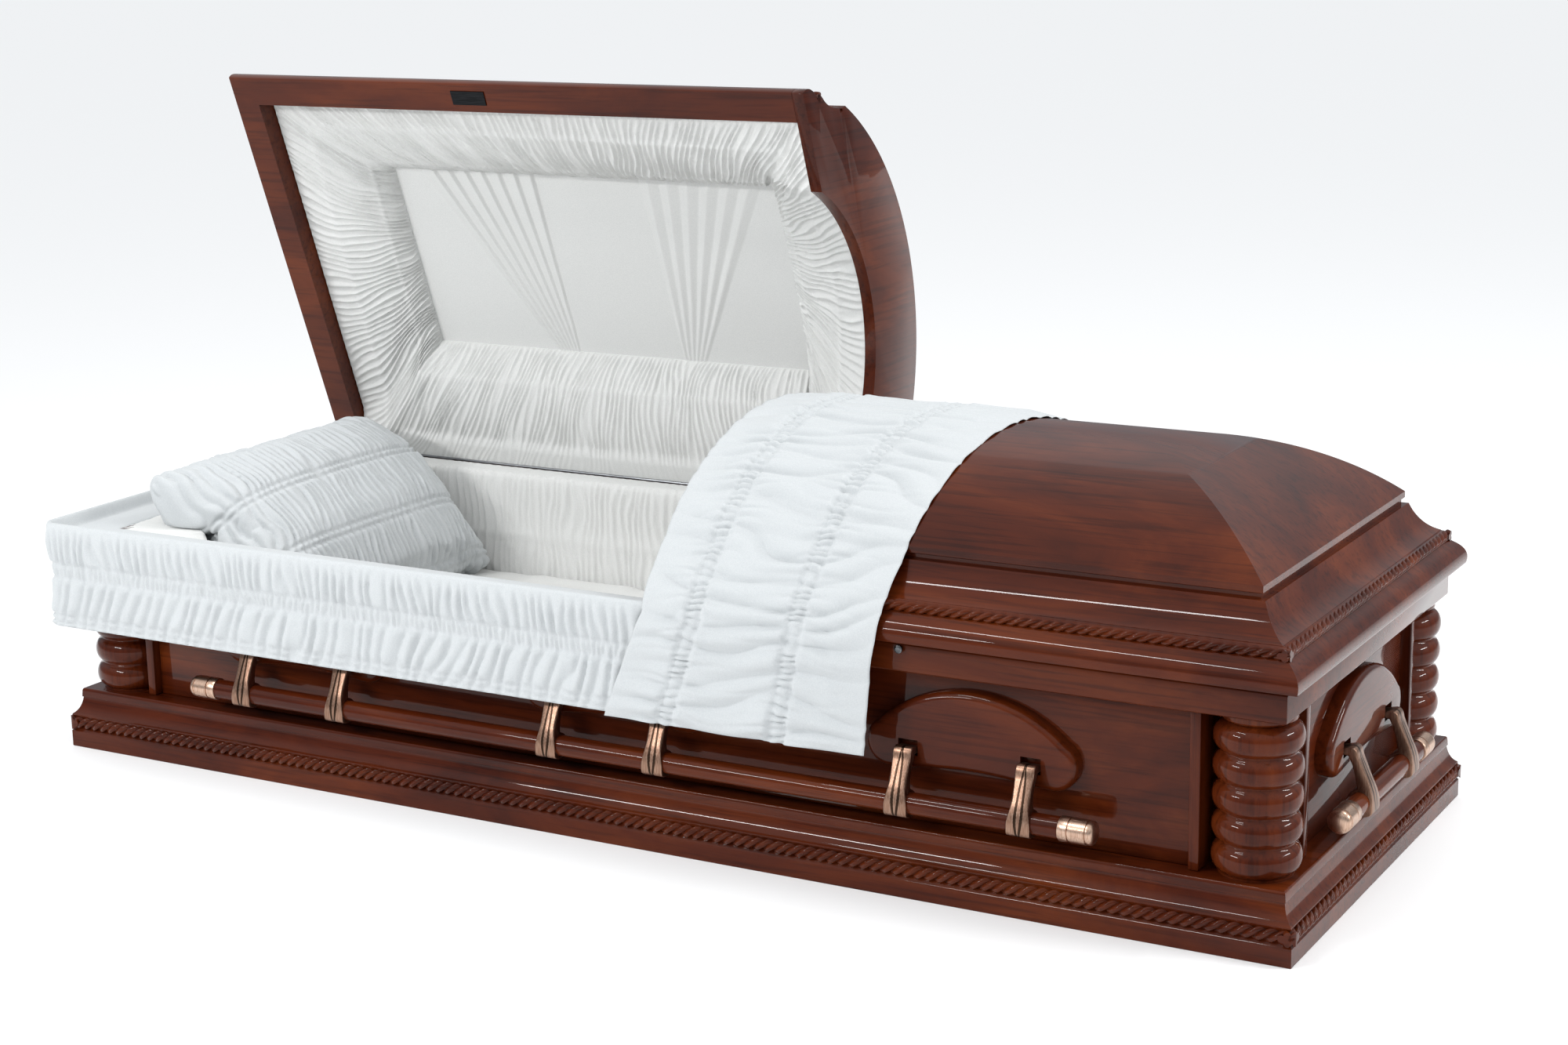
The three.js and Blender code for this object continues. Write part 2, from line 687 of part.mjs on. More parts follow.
// An arm seen from the side: a tongue in the slot, a strap and an eye round the bar
function armGeometry() {
  const bore = BAR_RADIUS + ARM_BORE_CLEARANCE;
  const eye = bore + ARM_WALL;
  const frontFace = BAR_INSET - eye;
  const kneeInset = LUG_FACE_INSET - 14;
  const tongueTop = PIVOT_HEIGHT + PIVOT_RADIUS;
  const tongueFoot = PIVOT_HEIGHT - PIVOT_RADIUS;
  const tongueEnd = PIVOT_INSET + PIVOT_RADIUS;
  const outline = [
    point2(tongueEnd, PIVOT_HEIGHT),
    point2(PIVOT_INSET + 3, tongueTop - 1),
    point2(PIVOT_INSET, tongueTop),
    point2(kneeInset + 3, tongueTop + 3),
    point2(kneeInset, tongueTop + 1),
    point2(kneeInset - 8, PIVOT_HEIGHT - 16),
    point2(frontFace + 7, BAR_HEIGHT + 22),
    point2(frontFace, BAR_HEIGHT + 2),
    point2(frontFace, BAR_HEIGHT - eye),
    point2(BAR_INSET, BAR_HEIGHT - eye - 0.5),
    point2(BAR_INSET + 0.72 * eye, BAR_HEIGHT - 0.72 * eye),
    point2(BAR_INSET + eye, BAR_HEIGHT),
    point2(BAR_INSET + 0.72 * eye, BAR_HEIGHT + 0.72 * eye),
    point2(frontFace + 19, BAR_HEIGHT + 30),
    point2(kneeInset + 2, PIVOT_HEIGHT - 16),
    point2(kneeInset + 8, tongueFoot),
    point2(PIVOT_INSET, tongueFoot),
    point2(PIVOT_INSET + 3, tongueFoot + 1),
  ];
  const hole = Array.from({ length: BAR_SIDES }, (_, i) => {
    const angle = (2 * Math.PI * (i + 0.5)) / BAR_SIDES;
    const corner = bore / Math.cos(Math.PI / BAR_SIDES);
    return point2(BAR_INSET + corner * Math.cos(angle), BAR_HEIGHT + corner * Math.sin(angle));
  });
  const place = (inset, z, side) => new THREE.Vector3(side * armWidth(z), inset, z);
  return prism(outline, -0.5, 0.5, place, [hole]);
}

// The bar and its two ringed end caps, turned as one piece
function barGeometry(half) {
  const capFoot = half - CAP_LENGTH;
  const ring = CAP_RADIUS - 1.5;
  const end = [
    point2(BAR_RADIUS, capFoot),
    point2(CAP_RADIUS, capFoot + 0.5),
    point2(CAP_RADIUS, capFoot + 15),
    point2(ring, capFoot + 16.5),
    point2(CAP_RADIUS, capFoot + 18),
    point2(CAP_RADIUS, half - 12),
    point2(ring, half - 10),
    point2(ring, half - 5),
    point2(0.6 * ring, half - 1),
    point2(0, half),
  ];
  const mirrored = end.map((p) => point2(p.x, -p.y)).reverse();
  const bar = turned([...mirrored, ...end], BAR_SIDES);
  return placed(bar, (p) => new THREE.Vector3(p.z, BAR_INSET + p.x, BAR_HEIGHT + p.y));
}

function addHandle(wall) {
  const isSide = wall.name === 'front' || wall.name === 'back';
  const lugs = isSide ? [-lugSpacing, 0, lugSpacing] : [0];
  const group = wallGroup(wall);
  lugs.forEach((x, i) => {
    const label = isSide ? `_${i + 1}` : '';
    add(group, `${wall.name}_lug_plate${label}`, lugGeometry(), lacqueredWood).position.x = x;
    [-1, 1].forEach((side, j) => {
      const arm = add(group, `${wall.name}_arm_${2 * i + j + 1}`, armGeometry(), antiqueCopper);
      arm.position.x = x + side * ARM_SPREAD;
    });
  });
  const half = isSide ? SIDE_BAR_HALF : endBarHalf;
  add(group, `${wall.name}_bar`, barGeometry(half), lacqueredWood);
}

// The body's lining, mattress and pillow

// A rectangle with its corners cut off, as deep as the posts need
function octagon(inset, clearance) {
  const cut = 2 * (postBack + SEAT_GAP) + clearance - inset;
  const x = LENGTH / 2;
  const y = WIDTH / 2;
  const points = [];
  for (const [i, j] of [[-1, -1], [1, -1], [1, 1], [-1, 1]]) {
    const onEnd = point2(i * (x - inset), j * (y - cut));
    const onSide = point2(i * (x - cut), j * (y - inset));
    points.push(...(i * j > 0 ? [onEnd, onSide] : [onSide, onEnd]));
  }
  return points;
}

function addInterior() {
  const outer = octagon(liningInset, LINING_CHAMFER_CLEARANCE);
  const innerInset = liningInset + LINING_THICKNESS;
  const slant = LINING_THICKNESS * Math.SQRT2;
  const inner = octagon(innerInset, LINING_CHAMFER_CLEARANCE + slant);
  const lining = prism(outer, wallFoot, RAIL_TOP - SEAT_GAP, onPlan, [inner]);
  add(casket, 'body_lining', lining, whiteCrepe);

  const bedInset = innerInset + MATTRESS_CLEARANCE;
  const bedSlant = slant + MATTRESS_CLEARANCE * Math.SQRT2;
  const outline = octagon(bedInset, LINING_CHAMFER_CLEARANCE + bedSlant);
  const mattress = new THREE.ExtrudeGeometry(new THREE.Shape(outline), {
    depth: MATTRESS_TOP - wallFoot - 2 * MATTRESS_ROUND,
    bevelThickness: MATTRESS_ROUND,
    bevelSize: MATTRESS_ROUND,
    bevelOffset: -MATTRESS_ROUND,
    bevelSegments: 2,
  });
  mattress.translate(0, 0, wallFoot + MATTRESS_ROUND);
  add(casket, 'mattress', closed(mattress), whiteCrepe);
  add(casket, 'pillow', pillowGeometry(bedInset), whiteCrepe);
}

// A pillow propped against the head end: a wedge that thins to a seam at both sides. It lies
// over the cut corners of the lining.
function pillowGeometry(bedInset) {
  const foot = MATTRESS_TOP + SEAT_GAP;
  const start = bedInset + PILLOW_END_GAP - LENGTH / 2;
  const side = [
    [0.3, 0], [0.92, 0], [1, 0.07], [0.97, 0.2], [0.76, 0.62],
    [0.5, 0.9], [0.24, 1], [0.06, 0.97], [0, 0.86], [0.04, 0.6],
  ].map(([a, b]) => point2(a * PILLOW_LENGTH, b * PILLOW_HEIGHT));
  const seam = new THREE.Line3(
    new THREE.Vector3(0.97 * PILLOW_LENGTH, 0.08 * PILLOW_HEIGHT, 0),
    new THREE.Vector3(0.03 * PILLOW_LENGTH, 0.9 * PILLOW_HEIGHT, 0),
  );
  const steps = 10;
  const loops = [];
  for (let i = 0; i <= steps; i += 1) {
    const across = -Math.cos((Math.PI * i) / steps);
    const fullness = 0.16 + 0.84 * Math.sqrt(1 - across ** 4);
    loops.push(side.map((p) => {
      const full = new THREE.Vector3(p.x, p.y, 0);
      const nearest = seam.closestPointToPoint(full, true, new THREE.Vector3());
      const q = nearest.lerp(full, fullness);
      return new THREE.Vector3(start + q.x, (across * PILLOW_WIDTH) / 2, foot + q.y);
    }));
  }
  const reach = 2 * (postBack + LINING_THICKNESS) + LINING_CHAMFER_CLEARANCE + PILLOW_END_GAP;
  const corner = [point2(0, 0), point2(reach, 0), point2(0, reach)];
  let pillow = toManifold(skin(loops));
  for (const front of [-1, 1]) {
    const place = (a, b, z) => new THREE.Vector3(a - LENGTH / 2, front * (WIDTH / 2 - b), z);
    const cut = prism(corner, 0, RAIL_TOP + PILLOW_RAIL_CLEARANCE, place);
    pillow = pillow.subtract(toManifold(cut));
  }
  return fromManifold(pillow);
}

// The apron: the lining's front fold, turned out over the rail. It lies thin on the rail,
// where the lid shuts on it, and rises to a soft crest in front of the lid.
function addApron() {
  const sheetFoot = RAIL_TOP + SEAT_GAP;
  const sheetTop = sheetFoot + APRON_SHEET;
  const crest = RAIL_TOP + APRON_CREST;
  const back = -APRON_STAND_OFF;
  const front = back - APRON_SKIRT;
  const section = [
    point2(panelBack - 4, sheetFoot),
    point2(panelBack - 4, sheetTop),
    point2(1, sheetTop),
    point2(-3, sheetTop + 5),
    point2(back + 1, crest - 5),
    point2(back - 4, crest),
    point2(front - 2, crest - 4),
    point2(front - 4, crest - 14),
    point2(front - 2, crest - 60),
    point2(front, APRON_HEM),
    point2(back, APRON_HEM),
    point2(back, sheetFoot - 12),
    point2(back + 4, sheetFoot),
  ];
  const from = APRON_END_MARGIN - LENGTH / 2;
  const to = SPLIT_X - SPLIT_GAP / 2 - 1;
  add(casket, 'apron', prism(section, from, to, onSection), whiteCrepe);
}

// The throw: a narrow cloth across the foot lid, hanging down in front
function addThrow(group, lidStart) {
  const lift = THROW_CLEARANCE;
  const back = crownArc(CROWN_INSET + THROW_BACK_MARGIN, CROWN_RADIUS + lift)
    .map((p) => point2(WIDTH - p.x, p.y));
  const front = crownArc(CROWN_INSET, CROWN_RADIUS + lift).reverse().slice(1);
  const hang = -THROW_STAND_OFF;
  const path = [
    ...back,
    ...front,
    point2(CROWN_INSET - 3.5, crownEdgeZ - 3),
    point2(12, lidBottom + 48),
    point2(-8, lidBottom + 20),
    point2(hang + 4, lidBottom - 4),
    point2(hang, lidBottom - 26),
    point2(hang, (lidBottom + THROW_HEM) / 2),
    point2(hang + 1, THROW_HEM),
  ];
  const left = lidStart + 1.5;
  const loops = path.map((p, i) => {
    const before = path[Math.max(i - 1, 0)];
    const after = path[Math.min(i + 1, path.length - 1)];
    const along = after.clone().sub(before).normalize();
    const out = point2(along.y, -along.x).multiplyScalar(THROW_THICKNESS);
    const below = THREE.MathUtils.clamp((lidBottom - p.y) / (lidBottom - THROW_HEM), 0, 1);
    const overTop = THREE.MathUtils.clamp((p.x - hang) / WIDTH, 0, 1);
    const x0 = left - THROW_FLARE_LEFT * below;
    const x1 = left + THROW_WIDTH + THROW_SKEW * overTop - 14 * below;
    const outer = p.clone().add(out);
    return [
      onSection(p.x, p.y, x0),
      onSection(p.x, p.y, x1),
      onSection(outer.x, outer.y, x1),
      onSection(outer.x, outer.y, x0),
    ];
  });
  add(group, 'throw', skin(loops), whiteCrepe);
}

// A round catch knob on the face of the rail
function addKnob() {
  const knob = turned([
    point2(0, 0),
    point2(0.7 * KNOB_RADIUS, 0),
    point2(0.7 * KNOB_RADIUS, 0.4 * KNOB_REACH),
    point2(KNOB_RADIUS, 0.5 * KNOB_REACH),
    point2(KNOB_RADIUS, 0.85 * KNOB_REACH),
    point2(0.6 * KNOB_RADIUS, KNOB_REACH),
    point2(0, KNOB_REACH),
  ], 12);
  const face = RAIL_INSET - WIDTH / 2 - SEAT_GAP;
  const z = RAIL_TOP - KNOB_RADIUS - 1;
  const onRail = placed(knob, (p) => new THREE.Vector3(KNOB_X + p.x, face - p.z, z + p.y));
  add(casket, 'catch_knob', onRail, greySteel);
}

addBase();
addWalls();
addRail();
addLids();
walls.forEach(addHandle);
addInterior();
addApron();
addKnob();

export default casket;
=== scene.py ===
# %% [markdown]
# A half-couch casket, dressed
#
# The casket is a lacquered hardwood box with a two-part lid. Its head lid stands open on a
# crepe lining, and a throw lies over the foot lid. The frame that is loaded first holds every
# piece at its true size and place, so each cell below only adds the finish and the fine form.

import math

import bpy
import numpy as np
from mathutils import Matrix, Vector


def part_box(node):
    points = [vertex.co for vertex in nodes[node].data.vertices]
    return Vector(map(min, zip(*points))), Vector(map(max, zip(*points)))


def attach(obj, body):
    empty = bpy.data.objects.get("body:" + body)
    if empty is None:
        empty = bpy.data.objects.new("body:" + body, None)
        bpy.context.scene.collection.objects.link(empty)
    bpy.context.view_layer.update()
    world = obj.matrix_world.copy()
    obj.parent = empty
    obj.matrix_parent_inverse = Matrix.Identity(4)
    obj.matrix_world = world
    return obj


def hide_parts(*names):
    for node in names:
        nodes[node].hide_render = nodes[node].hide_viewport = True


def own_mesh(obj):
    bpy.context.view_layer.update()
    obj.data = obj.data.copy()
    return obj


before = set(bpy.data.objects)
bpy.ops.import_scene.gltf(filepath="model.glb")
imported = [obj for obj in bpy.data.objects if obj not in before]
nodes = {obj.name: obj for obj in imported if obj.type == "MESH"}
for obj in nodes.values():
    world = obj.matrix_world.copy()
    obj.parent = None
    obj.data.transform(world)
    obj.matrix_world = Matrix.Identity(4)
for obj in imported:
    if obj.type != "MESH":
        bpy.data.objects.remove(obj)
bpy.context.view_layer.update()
MM = 0.001
print("frame loaded:", len(nodes), "nodes")

# %% [markdown]
# Most wooden pieces are drawn as a joiner would draw them, by two numbers in millimetres: how
# far a point lies inside the outline of the base, and its height over the floor. The outline
# itself comes from the frame: the wall panels stand 50 mm inside it.

# %% The outline of the base
PANEL_INSET = 50
half_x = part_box("foot_end_panel")[1].x / MM + PANEL_INSET
half_y = -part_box("front_panel")[0].y / MM + PANEL_INSET
lid_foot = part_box("foot_lid_moulding")[0].z / MM
print(f"outline {2 * half_x:.0f} x {2 * half_y:.0f} mm, lids start at {lid_foot:.1f} mm")

# %% [markdown]
# The camera stands to the right of the front, a little above the lids, and looks down by 13
# degrees. Its place was worked out from the casket's corners in the photograph, so it is given
# as plain numbers: a place, a heading, a tilt and a small roll.

# %% Camera
CAMERA_PLACE = (2.1269, -3.5832, 1.3958)
HEADING, TILT, ROLL = 29.566, -13.415, -1.032


def add_camera():
    data = bpy.data.cameras.new("view_camera")
    data.lens = 63.19
    data.sensor_width = 36
    camera = bpy.data.objects.new("view_camera", data)
    bpy.context.scene.collection.objects.link(camera)
    heading = Matrix.Rotation(math.radians(HEADING), 4, "Z")
    tilt = Matrix.Rotation(math.radians(90 + TILT), 4, "X")
    roll = Matrix.Rotation(math.radians(ROLL), 4, "Z")
    camera.matrix_world = Matrix.Translation(CAMERA_PLACE) @ heading @ tilt @ roll
    bpy.context.scene.camera = camera


add_camera()
print("camera at", CAMERA_PLACE)

# %% [markdown]
# Every finish below is a small tree of nodes. One function adds a node, sets its values and
# links its inputs, so that each recipe reads as a list of steps.

# %% Node helpers


def srgb(code, alpha=1.0):
    """An sRGB hex code as the linear colour that a shader takes."""
    channels = [int(code[i : i + 2], 16) / 255 for i in (1, 3, 5)]
    linear = [c / 12.92 if c <= 0.04045 else ((c + 0.055) / 1.055) ** 2.4 for c in channels]
    return (*linear, alpha)


def add_node(tree, kind, settings=None, **links):
    """Adds a node. A setting is an attribute or an input's value, and a link is an output."""
    node = tree.nodes.new(kind)
    for name, value in (settings or {}).items():
        if name in node.inputs:
            node.inputs[name].default_value = value
        else:
            setattr(node, name, value)
    for name, output in links.items():
        wanted = name.replace("_", " ").lower()
        socket = next(s for s in node.inputs if s.name.lower() == wanted and s.enabled)
        tree.links.new(output, socket)
    return node


def new_finish(name, values):
    """A material whose shader has these constant values. Returns the material, tree, shader."""
    material = bpy.data.materials.new(name)
    material.use_nodes = True
    tree = material.node_tree
    shader = tree.nodes["Principled BSDF"]
    for socket, value in values.items():
        shader.inputs[socket].default_value = value
    return material, tree, shader


def ramp(tree, factor, stops):
    """A colour ramp from (place, hex colour) stops."""
    node = add_node(tree, "ShaderNodeValToRGB")
    tree.links.new(factor, node.inputs["Fac"])
    band = node.color_ramp
    while len(band.elements) < len(stops):
        band.elements.new(0.5)
    for element, (place, colour) in zip(band.elements, stops):
        element.position = place
        element.color = srgb(colour)
    return node.outputs["Color"]


print("node helpers ready")

# %% [markdown]
# Lacquer shows what stands round it, so the lamps are five soft boxes. A low and a high narrow
# strip stand before the left of the front, the same pair stands beside the foot end, and a wide
# warm box is further off. They could be bare bulbs, but then every moulding would carry hard
# dots. A graded sky lights the tops, and a pale floor lights the mouldings from below.

# %% Floor and light
STUDIO = 40  # half width of the floor, in metres
SKY = 1.08  # strength of the sky's light


def soft_box(name, place, aim, size, power, colour="#ffffff"):
    data = bpy.data.lights.new(name, "AREA")
    data.shape = "RECTANGLE"
    data.size, data.size_y = size
    data.energy = power
    data.color = srgb(colour)[:3]
    lamp = bpy.data.objects.new(name, data)
    bpy.context.scene.collection.objects.link(lamp)
    lamp.location = place
    lamp.rotation_euler = (Vector(aim) - Vector(place)).to_track_quat("-Z", "Y").to_euler()


FRONT_LEFT, FOOT_SIDE = (-0.507, -0.862), (0.972, 0.234)
for side, (east, north) in (("front_left", FRONT_LEFT), ("foot_side", FOOT_SIDE)):
    for level, height, reach, power in (("low", 1.9, 3.6, 48), ("high", 3.6, 2.4, 34)):
        soft_box(f"{side}_{level}_strip", (reach * east + 0.3, reach * north, height), (0.3, 0, 0.35),
                 (1.4, 0.14), power)
soft_box("end_wall", (5.2, 0.3, 1.5), (0.9, 0.0, 0.5), (3.2, 1.8), 9, "#fff6ea")


def graded_sky():
    """Bright overhead and dim near the horizon, so that tops shine and sides stay deep."""
    world = bpy.data.worlds.new("studio")
    world.use_nodes = True
    tree = world.node_tree
    direction = add_node(tree, "ShaderNodeTexCoord").outputs["Generated"]
    height = add_node(tree, "ShaderNodeSeparateXYZ", Vector=direction).outputs["Z"]
    sky = ramp(tree, height, [(0.0, "#8a8f94"), (0.25, "#9aa0a5"), (0.6, "#f2f5f8"), (1.0, "#ffffff")])
    tree.links.new(sky, tree.nodes["Background"].inputs["Color"])
    tree.nodes["Background"].inputs["Strength"].default_value = SKY
    bpy.context.scene.world = world


graded_sky()
bpy.context.scene.view_settings.view_transform = "Standard"
print("five soft boxes and a graded sky")

floor_paint, _, _ = new_finish("matt white floor paint", {
    "Base Color": srgb("#fdfdfd"), "Roughness": 0.9, "Specular IOR Level": 0.0})

bpy.ops.object.select_all(action="DESELECT")
bpy.ops.mesh.primitive_plane_add(size=2 * STUDIO)
floor = bpy.context.object
floor.name = "floor"
floor.data.materials.append(floor_paint)
print("floor added")

# %% [markdown]
# The wood is poplar, stained a deep red brown and sprayed with gloss lacquer. Stain sinks into
# the soft bands and leaves fine dark lines along the grain, 5 to 8 mm apart, over soft clouds of
# lighter brown. The lacquer is a clear coat on top, smooth enough to mirror the studio. The
# grain runs along each board, so the same recipe is made for three directions.

# %% Lacquered wood
GRAIN_SPACING = 6.5  # mm between dark lines
GRAIN_LENGTH = 30  # a line is this many times longer than it is wide
CLOUD_SIZE = 160  # mm


def lacquered_poplar(name, along):
    material, tree, shader = new_finish(name, {
        "Roughness": 0.45, "Specular IOR Level": 0.04, "Coat Weight": 1.0, "Coat Roughness": 0.03,
        "Coat IOR": 1.25,
    })
    place = add_node(tree, "ShaderNodeTexCoord").outputs["Object"]
    lines = [1 / (GRAIN_SPACING * MM)] * 3
    lines[along] /= GRAIN_LENGTH
    clouds = [1 / (CLOUD_SIZE * MM)] * 3
    clouds[along] /= 3
    grain_place = add_node(tree, "ShaderNodeMapping", {"Scale": lines}, Vector=place)
    cloud_place = add_node(tree, "ShaderNodeMapping", {"Scale": clouds}, Vector=place)
    grain = add_node(tree, "ShaderNodeTexNoise", {"Scale": 0.9, "Detail": 4.0, "Roughness": 0.6,
                     "Distortion": 0.35}, Vector=grain_place.outputs["Vector"])
    cloud = add_node(tree, "ShaderNodeTexNoise", {"Scale": 1.0, "Detail": 5.0, "Roughness": 0.62,
                     "Distortion": 0.8}, Vector=cloud_place.outputs["Vector"])
    ground = ramp(tree, cloud.outputs["Fac"], [(0.28, "#310e05"), (0.5, "#4b1b07"), (0.74, "#652c0e")])
    dark = ramp(tree, grain.outputs["Fac"], [(0.36, "#5c3a30"), (0.5, "#ffffff"), (0.9, "#fff0e0")])
    stained = add_node(tree, "ShaderNodeMix", {"data_type": "RGBA", "blend_type": "MULTIPLY"})
    tree.links.new(ground, stained.inputs[6])
    tree.links.new(dark, stained.inputs[7])
    stained.inputs[0].default_value = 0.4
    tree.links.new(stained.outputs[2], shader.inputs["Base Color"])
    return material


wood = [lacquered_poplar(f"gloss lacquered poplar, grain along {axis}", i) for i, axis in enumerate("XYZ")]
print("wood finishes:", [m.name for m in wood])

# %% [markdown]
# The handle arms and caps are cast, plated with copper, darkened in a bath and then brushed, so
# the copper is bright on the high faces and dark in the lines. Brushing leaves fine streaks. The
# hinges are nickel plated steel, which looks pale and grey. The strike plate is steel with baked
# black japan, and the knob is blackened steel that was polished, so it gives a sharper shine.

# %% Metals
STREAK = 0.7  # mm between brush marks; real ones are finer, and this width shows


def brushed_metal(name, bright, dull, roughness, along=2):
    material, tree, shader = new_finish(name, {"Metallic": 1.0, "Roughness": roughness})
    place = add_node(tree, "ShaderNodeTexCoord").outputs["Object"]
    scale = [1 / (STREAK * MM)] * 3
    scale[along] /= 25
    streaks = add_node(tree, "ShaderNodeMapping", {"Scale": scale}, Vector=place)
    noise = add_node(tree, "ShaderNodeTexNoise", {"Scale": 0.6, "Detail": 3.0},
                     Vector=streaks.outputs["Vector"])
    colour = ramp(tree, noise.outputs["Fac"], [(0.3, dull), (0.7, bright)])
    tree.links.new(colour, shader.inputs["Base Color"])
    return material


copper = brushed_metal("antique brushed copper plate", "#d6baa6", "#a98672", 0.3)
black_steel = brushed_metal("black japanned steel", "#2a2b2d", "#151617", 0.4, along=0)
grey_steel = brushed_metal("nickel plated steel", "#a3a5a8", "#77797c", 0.3, along=0)
dark_steel = brushed_metal("blackened steel, polished", "#77797b", "#47494b", 0.25, along=0)
print("four metals")

# %% [markdown]
# The cloth is a white polyester crepe: a matt weave with a soft pebbled face. Seen across a
# room it is plain white with cool shadows, so the colour hardly changes, and a fine bump stands
# for the pebbles. The bump's hollows are painted a little darker and cooler, as painted shade.

# %% Crepe
PEBBLE = 1.6  # mm; the real crepe is finer, and this size shows


def crepe(name, colour, painted_hollow_shade):
    material, tree, shader = new_finish(name, {
        "Roughness": 0.92, "Sheen Weight": 0.12, "Sheen Roughness": 0.5, "Specular IOR Level": 0.2,
    })
    place = add_node(tree, "ShaderNodeTexCoord").outputs["Object"]
    pebbles = add_node(tree, "ShaderNodeTexNoise", {"Scale": 1 / (PEBBLE * MM), "Detail": 2.0},
                       Vector=place)
    # painted shade: the pebbles' low points, the bump's hollows, take the darker, cooler colour
    colour_out = ramp(tree, pebbles.outputs["Fac"], [(0.25, painted_hollow_shade), (0.7, colour)])
    tree.links.new(colour_out, shader.inputs["Base Color"])
    bump = add_node(tree, "ShaderNodeBump", {"Strength": 0.25, "Distance": 0.0004},
                    Height=pebbles.outputs["Fac"])
    tree.links.new(bump.outputs["Normal"], shader.inputs["Normal"])
    return material


# the second colour of each crepe is the painted shade in its pebbles' hollows
white_crepe = crepe("white polyester crepe", "#c8cbcc", "#bdc1c3")
ivory_crepe = crepe("ivory polyester crepe", "#e0e0de", "#d5d6d4")
print("two crepes")

# %% [markdown]
# The next helpers are the moves that most wooden pieces share. A piece starts as a plane or a
# disc and is raised by extrusion: each step moves the top face up and scales it, the way a hand
# would press E and then S. A closed moulding is raised up its outside and down its inside, and
# its two ends are then bridged.

# %% Modelling helpers


def select_nothing():
    bpy.ops.object.select_all(action="DESELECT")


def make_active(piece):
    select_nothing()
    bpy.context.view_layer.objects.active = piece
    piece.select_set(True)


def edit(piece):
    """Edit mode on one piece, with nothing selected in it."""
    make_active(piece)
    bpy.ops.object.mode_set(mode="EDIT")
    bpy.ops.mesh.select_all(action="DESELECT")


def stop_edit():
    bpy.ops.object.mode_set(mode="OBJECT")


def apply_place(piece):
    make_active(piece)
    bpy.ops.object.transform_apply(location=True, rotation=True, scale=True)


def apply_modifier(piece, kind, **settings):
    make_active(piece)
    modifier = piece.modifiers.new(kind.lower(), kind)
    for name, value in settings.items():
        setattr(modifier, name, value)
    bpy.ops.object.modifier_apply(modifier=modifier.name)


def smooth(piece, degrees=32):
    make_active(piece)
    bpy.ops.object.shade_smooth_by_angle(angle=math.radians(degrees))


def dress(piece, body, slot, *materials, replaces=(), angle=32):
    """The last steps of every piece: shading, finish, body and the nodes it stands for."""
    smooth(piece, angle)
    piece.data.materials.clear()
    for material in materials:
        piece.data.materials.append(material)
    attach(piece, body)
    if replaces:
        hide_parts(*replaces)
    return piece


def named(name):
    piece = bpy.context.object
    piece.name = name
    return piece


def copy_of(model, name):
    piece = bpy.data.objects.new(name, model.data.copy())
    bpy.context.scene.collection.objects.link(piece)
    return piece


def merged_copy(node, name):
    """A copy of a CAD node with its loose triangles joined. The node itself stays as it is."""
    piece = copy_of(nodes[node], name)
    edit(piece)
    bpy.ops.mesh.select_all(action="SELECT")
    bpy.ops.mesh.remove_doubles(threshold=1e-5)
    stop_edit()
    return piece


def outline_face(name, points):
    """One face with many corners, from its points in mm."""
    select_nothing()
    bpy.ops.mesh.primitive_circle_add(vertices=len(points), radius=1, fill_type="NGON")
    face = named(name)
    for vertex, point in zip(face.data.vertices, points):
        vertex.co = [value * MM for value in point]
    return face


def points_of(piece, kind="co"):
    """A piece's points, or its normals, as rows of x, y and z in metres."""
    values = np.zeros(len(piece.data.vertices) * 3)
    piece.data.vertices.foreach_get(kind, values)
    return values.reshape(-1, 3)


def set_points(piece, points):
    piece.data.vertices.foreach_set("co", points.ravel())
    piece.data.update()


def raise_steps(sizes):
    """Extrudes the selected face through (half x, half y, z) sizes, in metres."""
    for (x0, y0, z0), (x1, y1, z1) in zip(sizes, sizes[1:]):
        bpy.ops.mesh.extrude_region_move(TRANSFORM_OT_translate={"value": (0, 0, z1 - z0)})
        bpy.ops.transform.resize(value=(x1 / x0, y1 / y0, 1), center_override=(0, 0, 0))


def raised_plane(name, section):
    """A solid raised from a plane, from a section of (inset, z) in millimetres."""
    sizes = [((half_x - inset) * MM, (half_y - inset) * MM, z * MM) for inset, z in section]
    select_nothing()
    bpy.ops.mesh.primitive_plane_add(size=2, location=(0, 0, sizes[0][2]))
    piece = named(name)
    piece.scale = (sizes[0][0], sizes[0][1], 1)
    apply_place(piece)
    edit(piece)
    bpy.ops.mesh.select_all(action="SELECT")
    raise_steps(sizes)
    stop_edit()
    return piece


def select_faces(piece, wanted):
    for face in piece.data.polygons:
        face.select = bool(wanted(face))


def mitred_ring(name, section):
    """A moulding that runs all round: its section climbs the outside and returns inside."""
    piece = raised_plane(name, section)
    select_faces(piece, lambda f: abs(f.center.x) < 1e-4 and abs(f.center.y) < 1e-4)
    make_active(piece)
    bpy.ops.object.mode_set(mode="EDIT")
    bpy.ops.mesh.select_mode(type="FACE")
    bpy.ops.mesh.delete(type="ONLY_FACE")
    bpy.ops.mesh.select_mode(type="EDGE")
    bpy.ops.mesh.select_all(action="DESELECT")
    bpy.ops.mesh.select_non_manifold()
    bpy.ops.mesh.bridge_edge_loops()
    bpy.ops.mesh.select_all(action="SELECT")
    bpy.ops.mesh.normals_make_consistent(inside=False)
    stop_edit()
    return piece


def cut(piece, place, normal):
    """Cuts off what lies beyond a plane, on the side its normal points to, and closes it."""
    edit(piece)
    bpy.ops.mesh.select_all(action="SELECT")
    bpy.ops.mesh.bisect(plane_co=place, plane_no=normal, use_fill=True, clear_outer=True)
    stop_edit()


def grain_by_member(piece, ends=1, sides=0):
    """Long members keep the first finish, and the two end members take the second one."""
    for face in piece.data.polygons:
        from_end = half_x * MM - abs(face.center.x)
        from_side = half_y * MM - abs(face.center.y)
        face.material_index = ends if from_end < from_side else sides


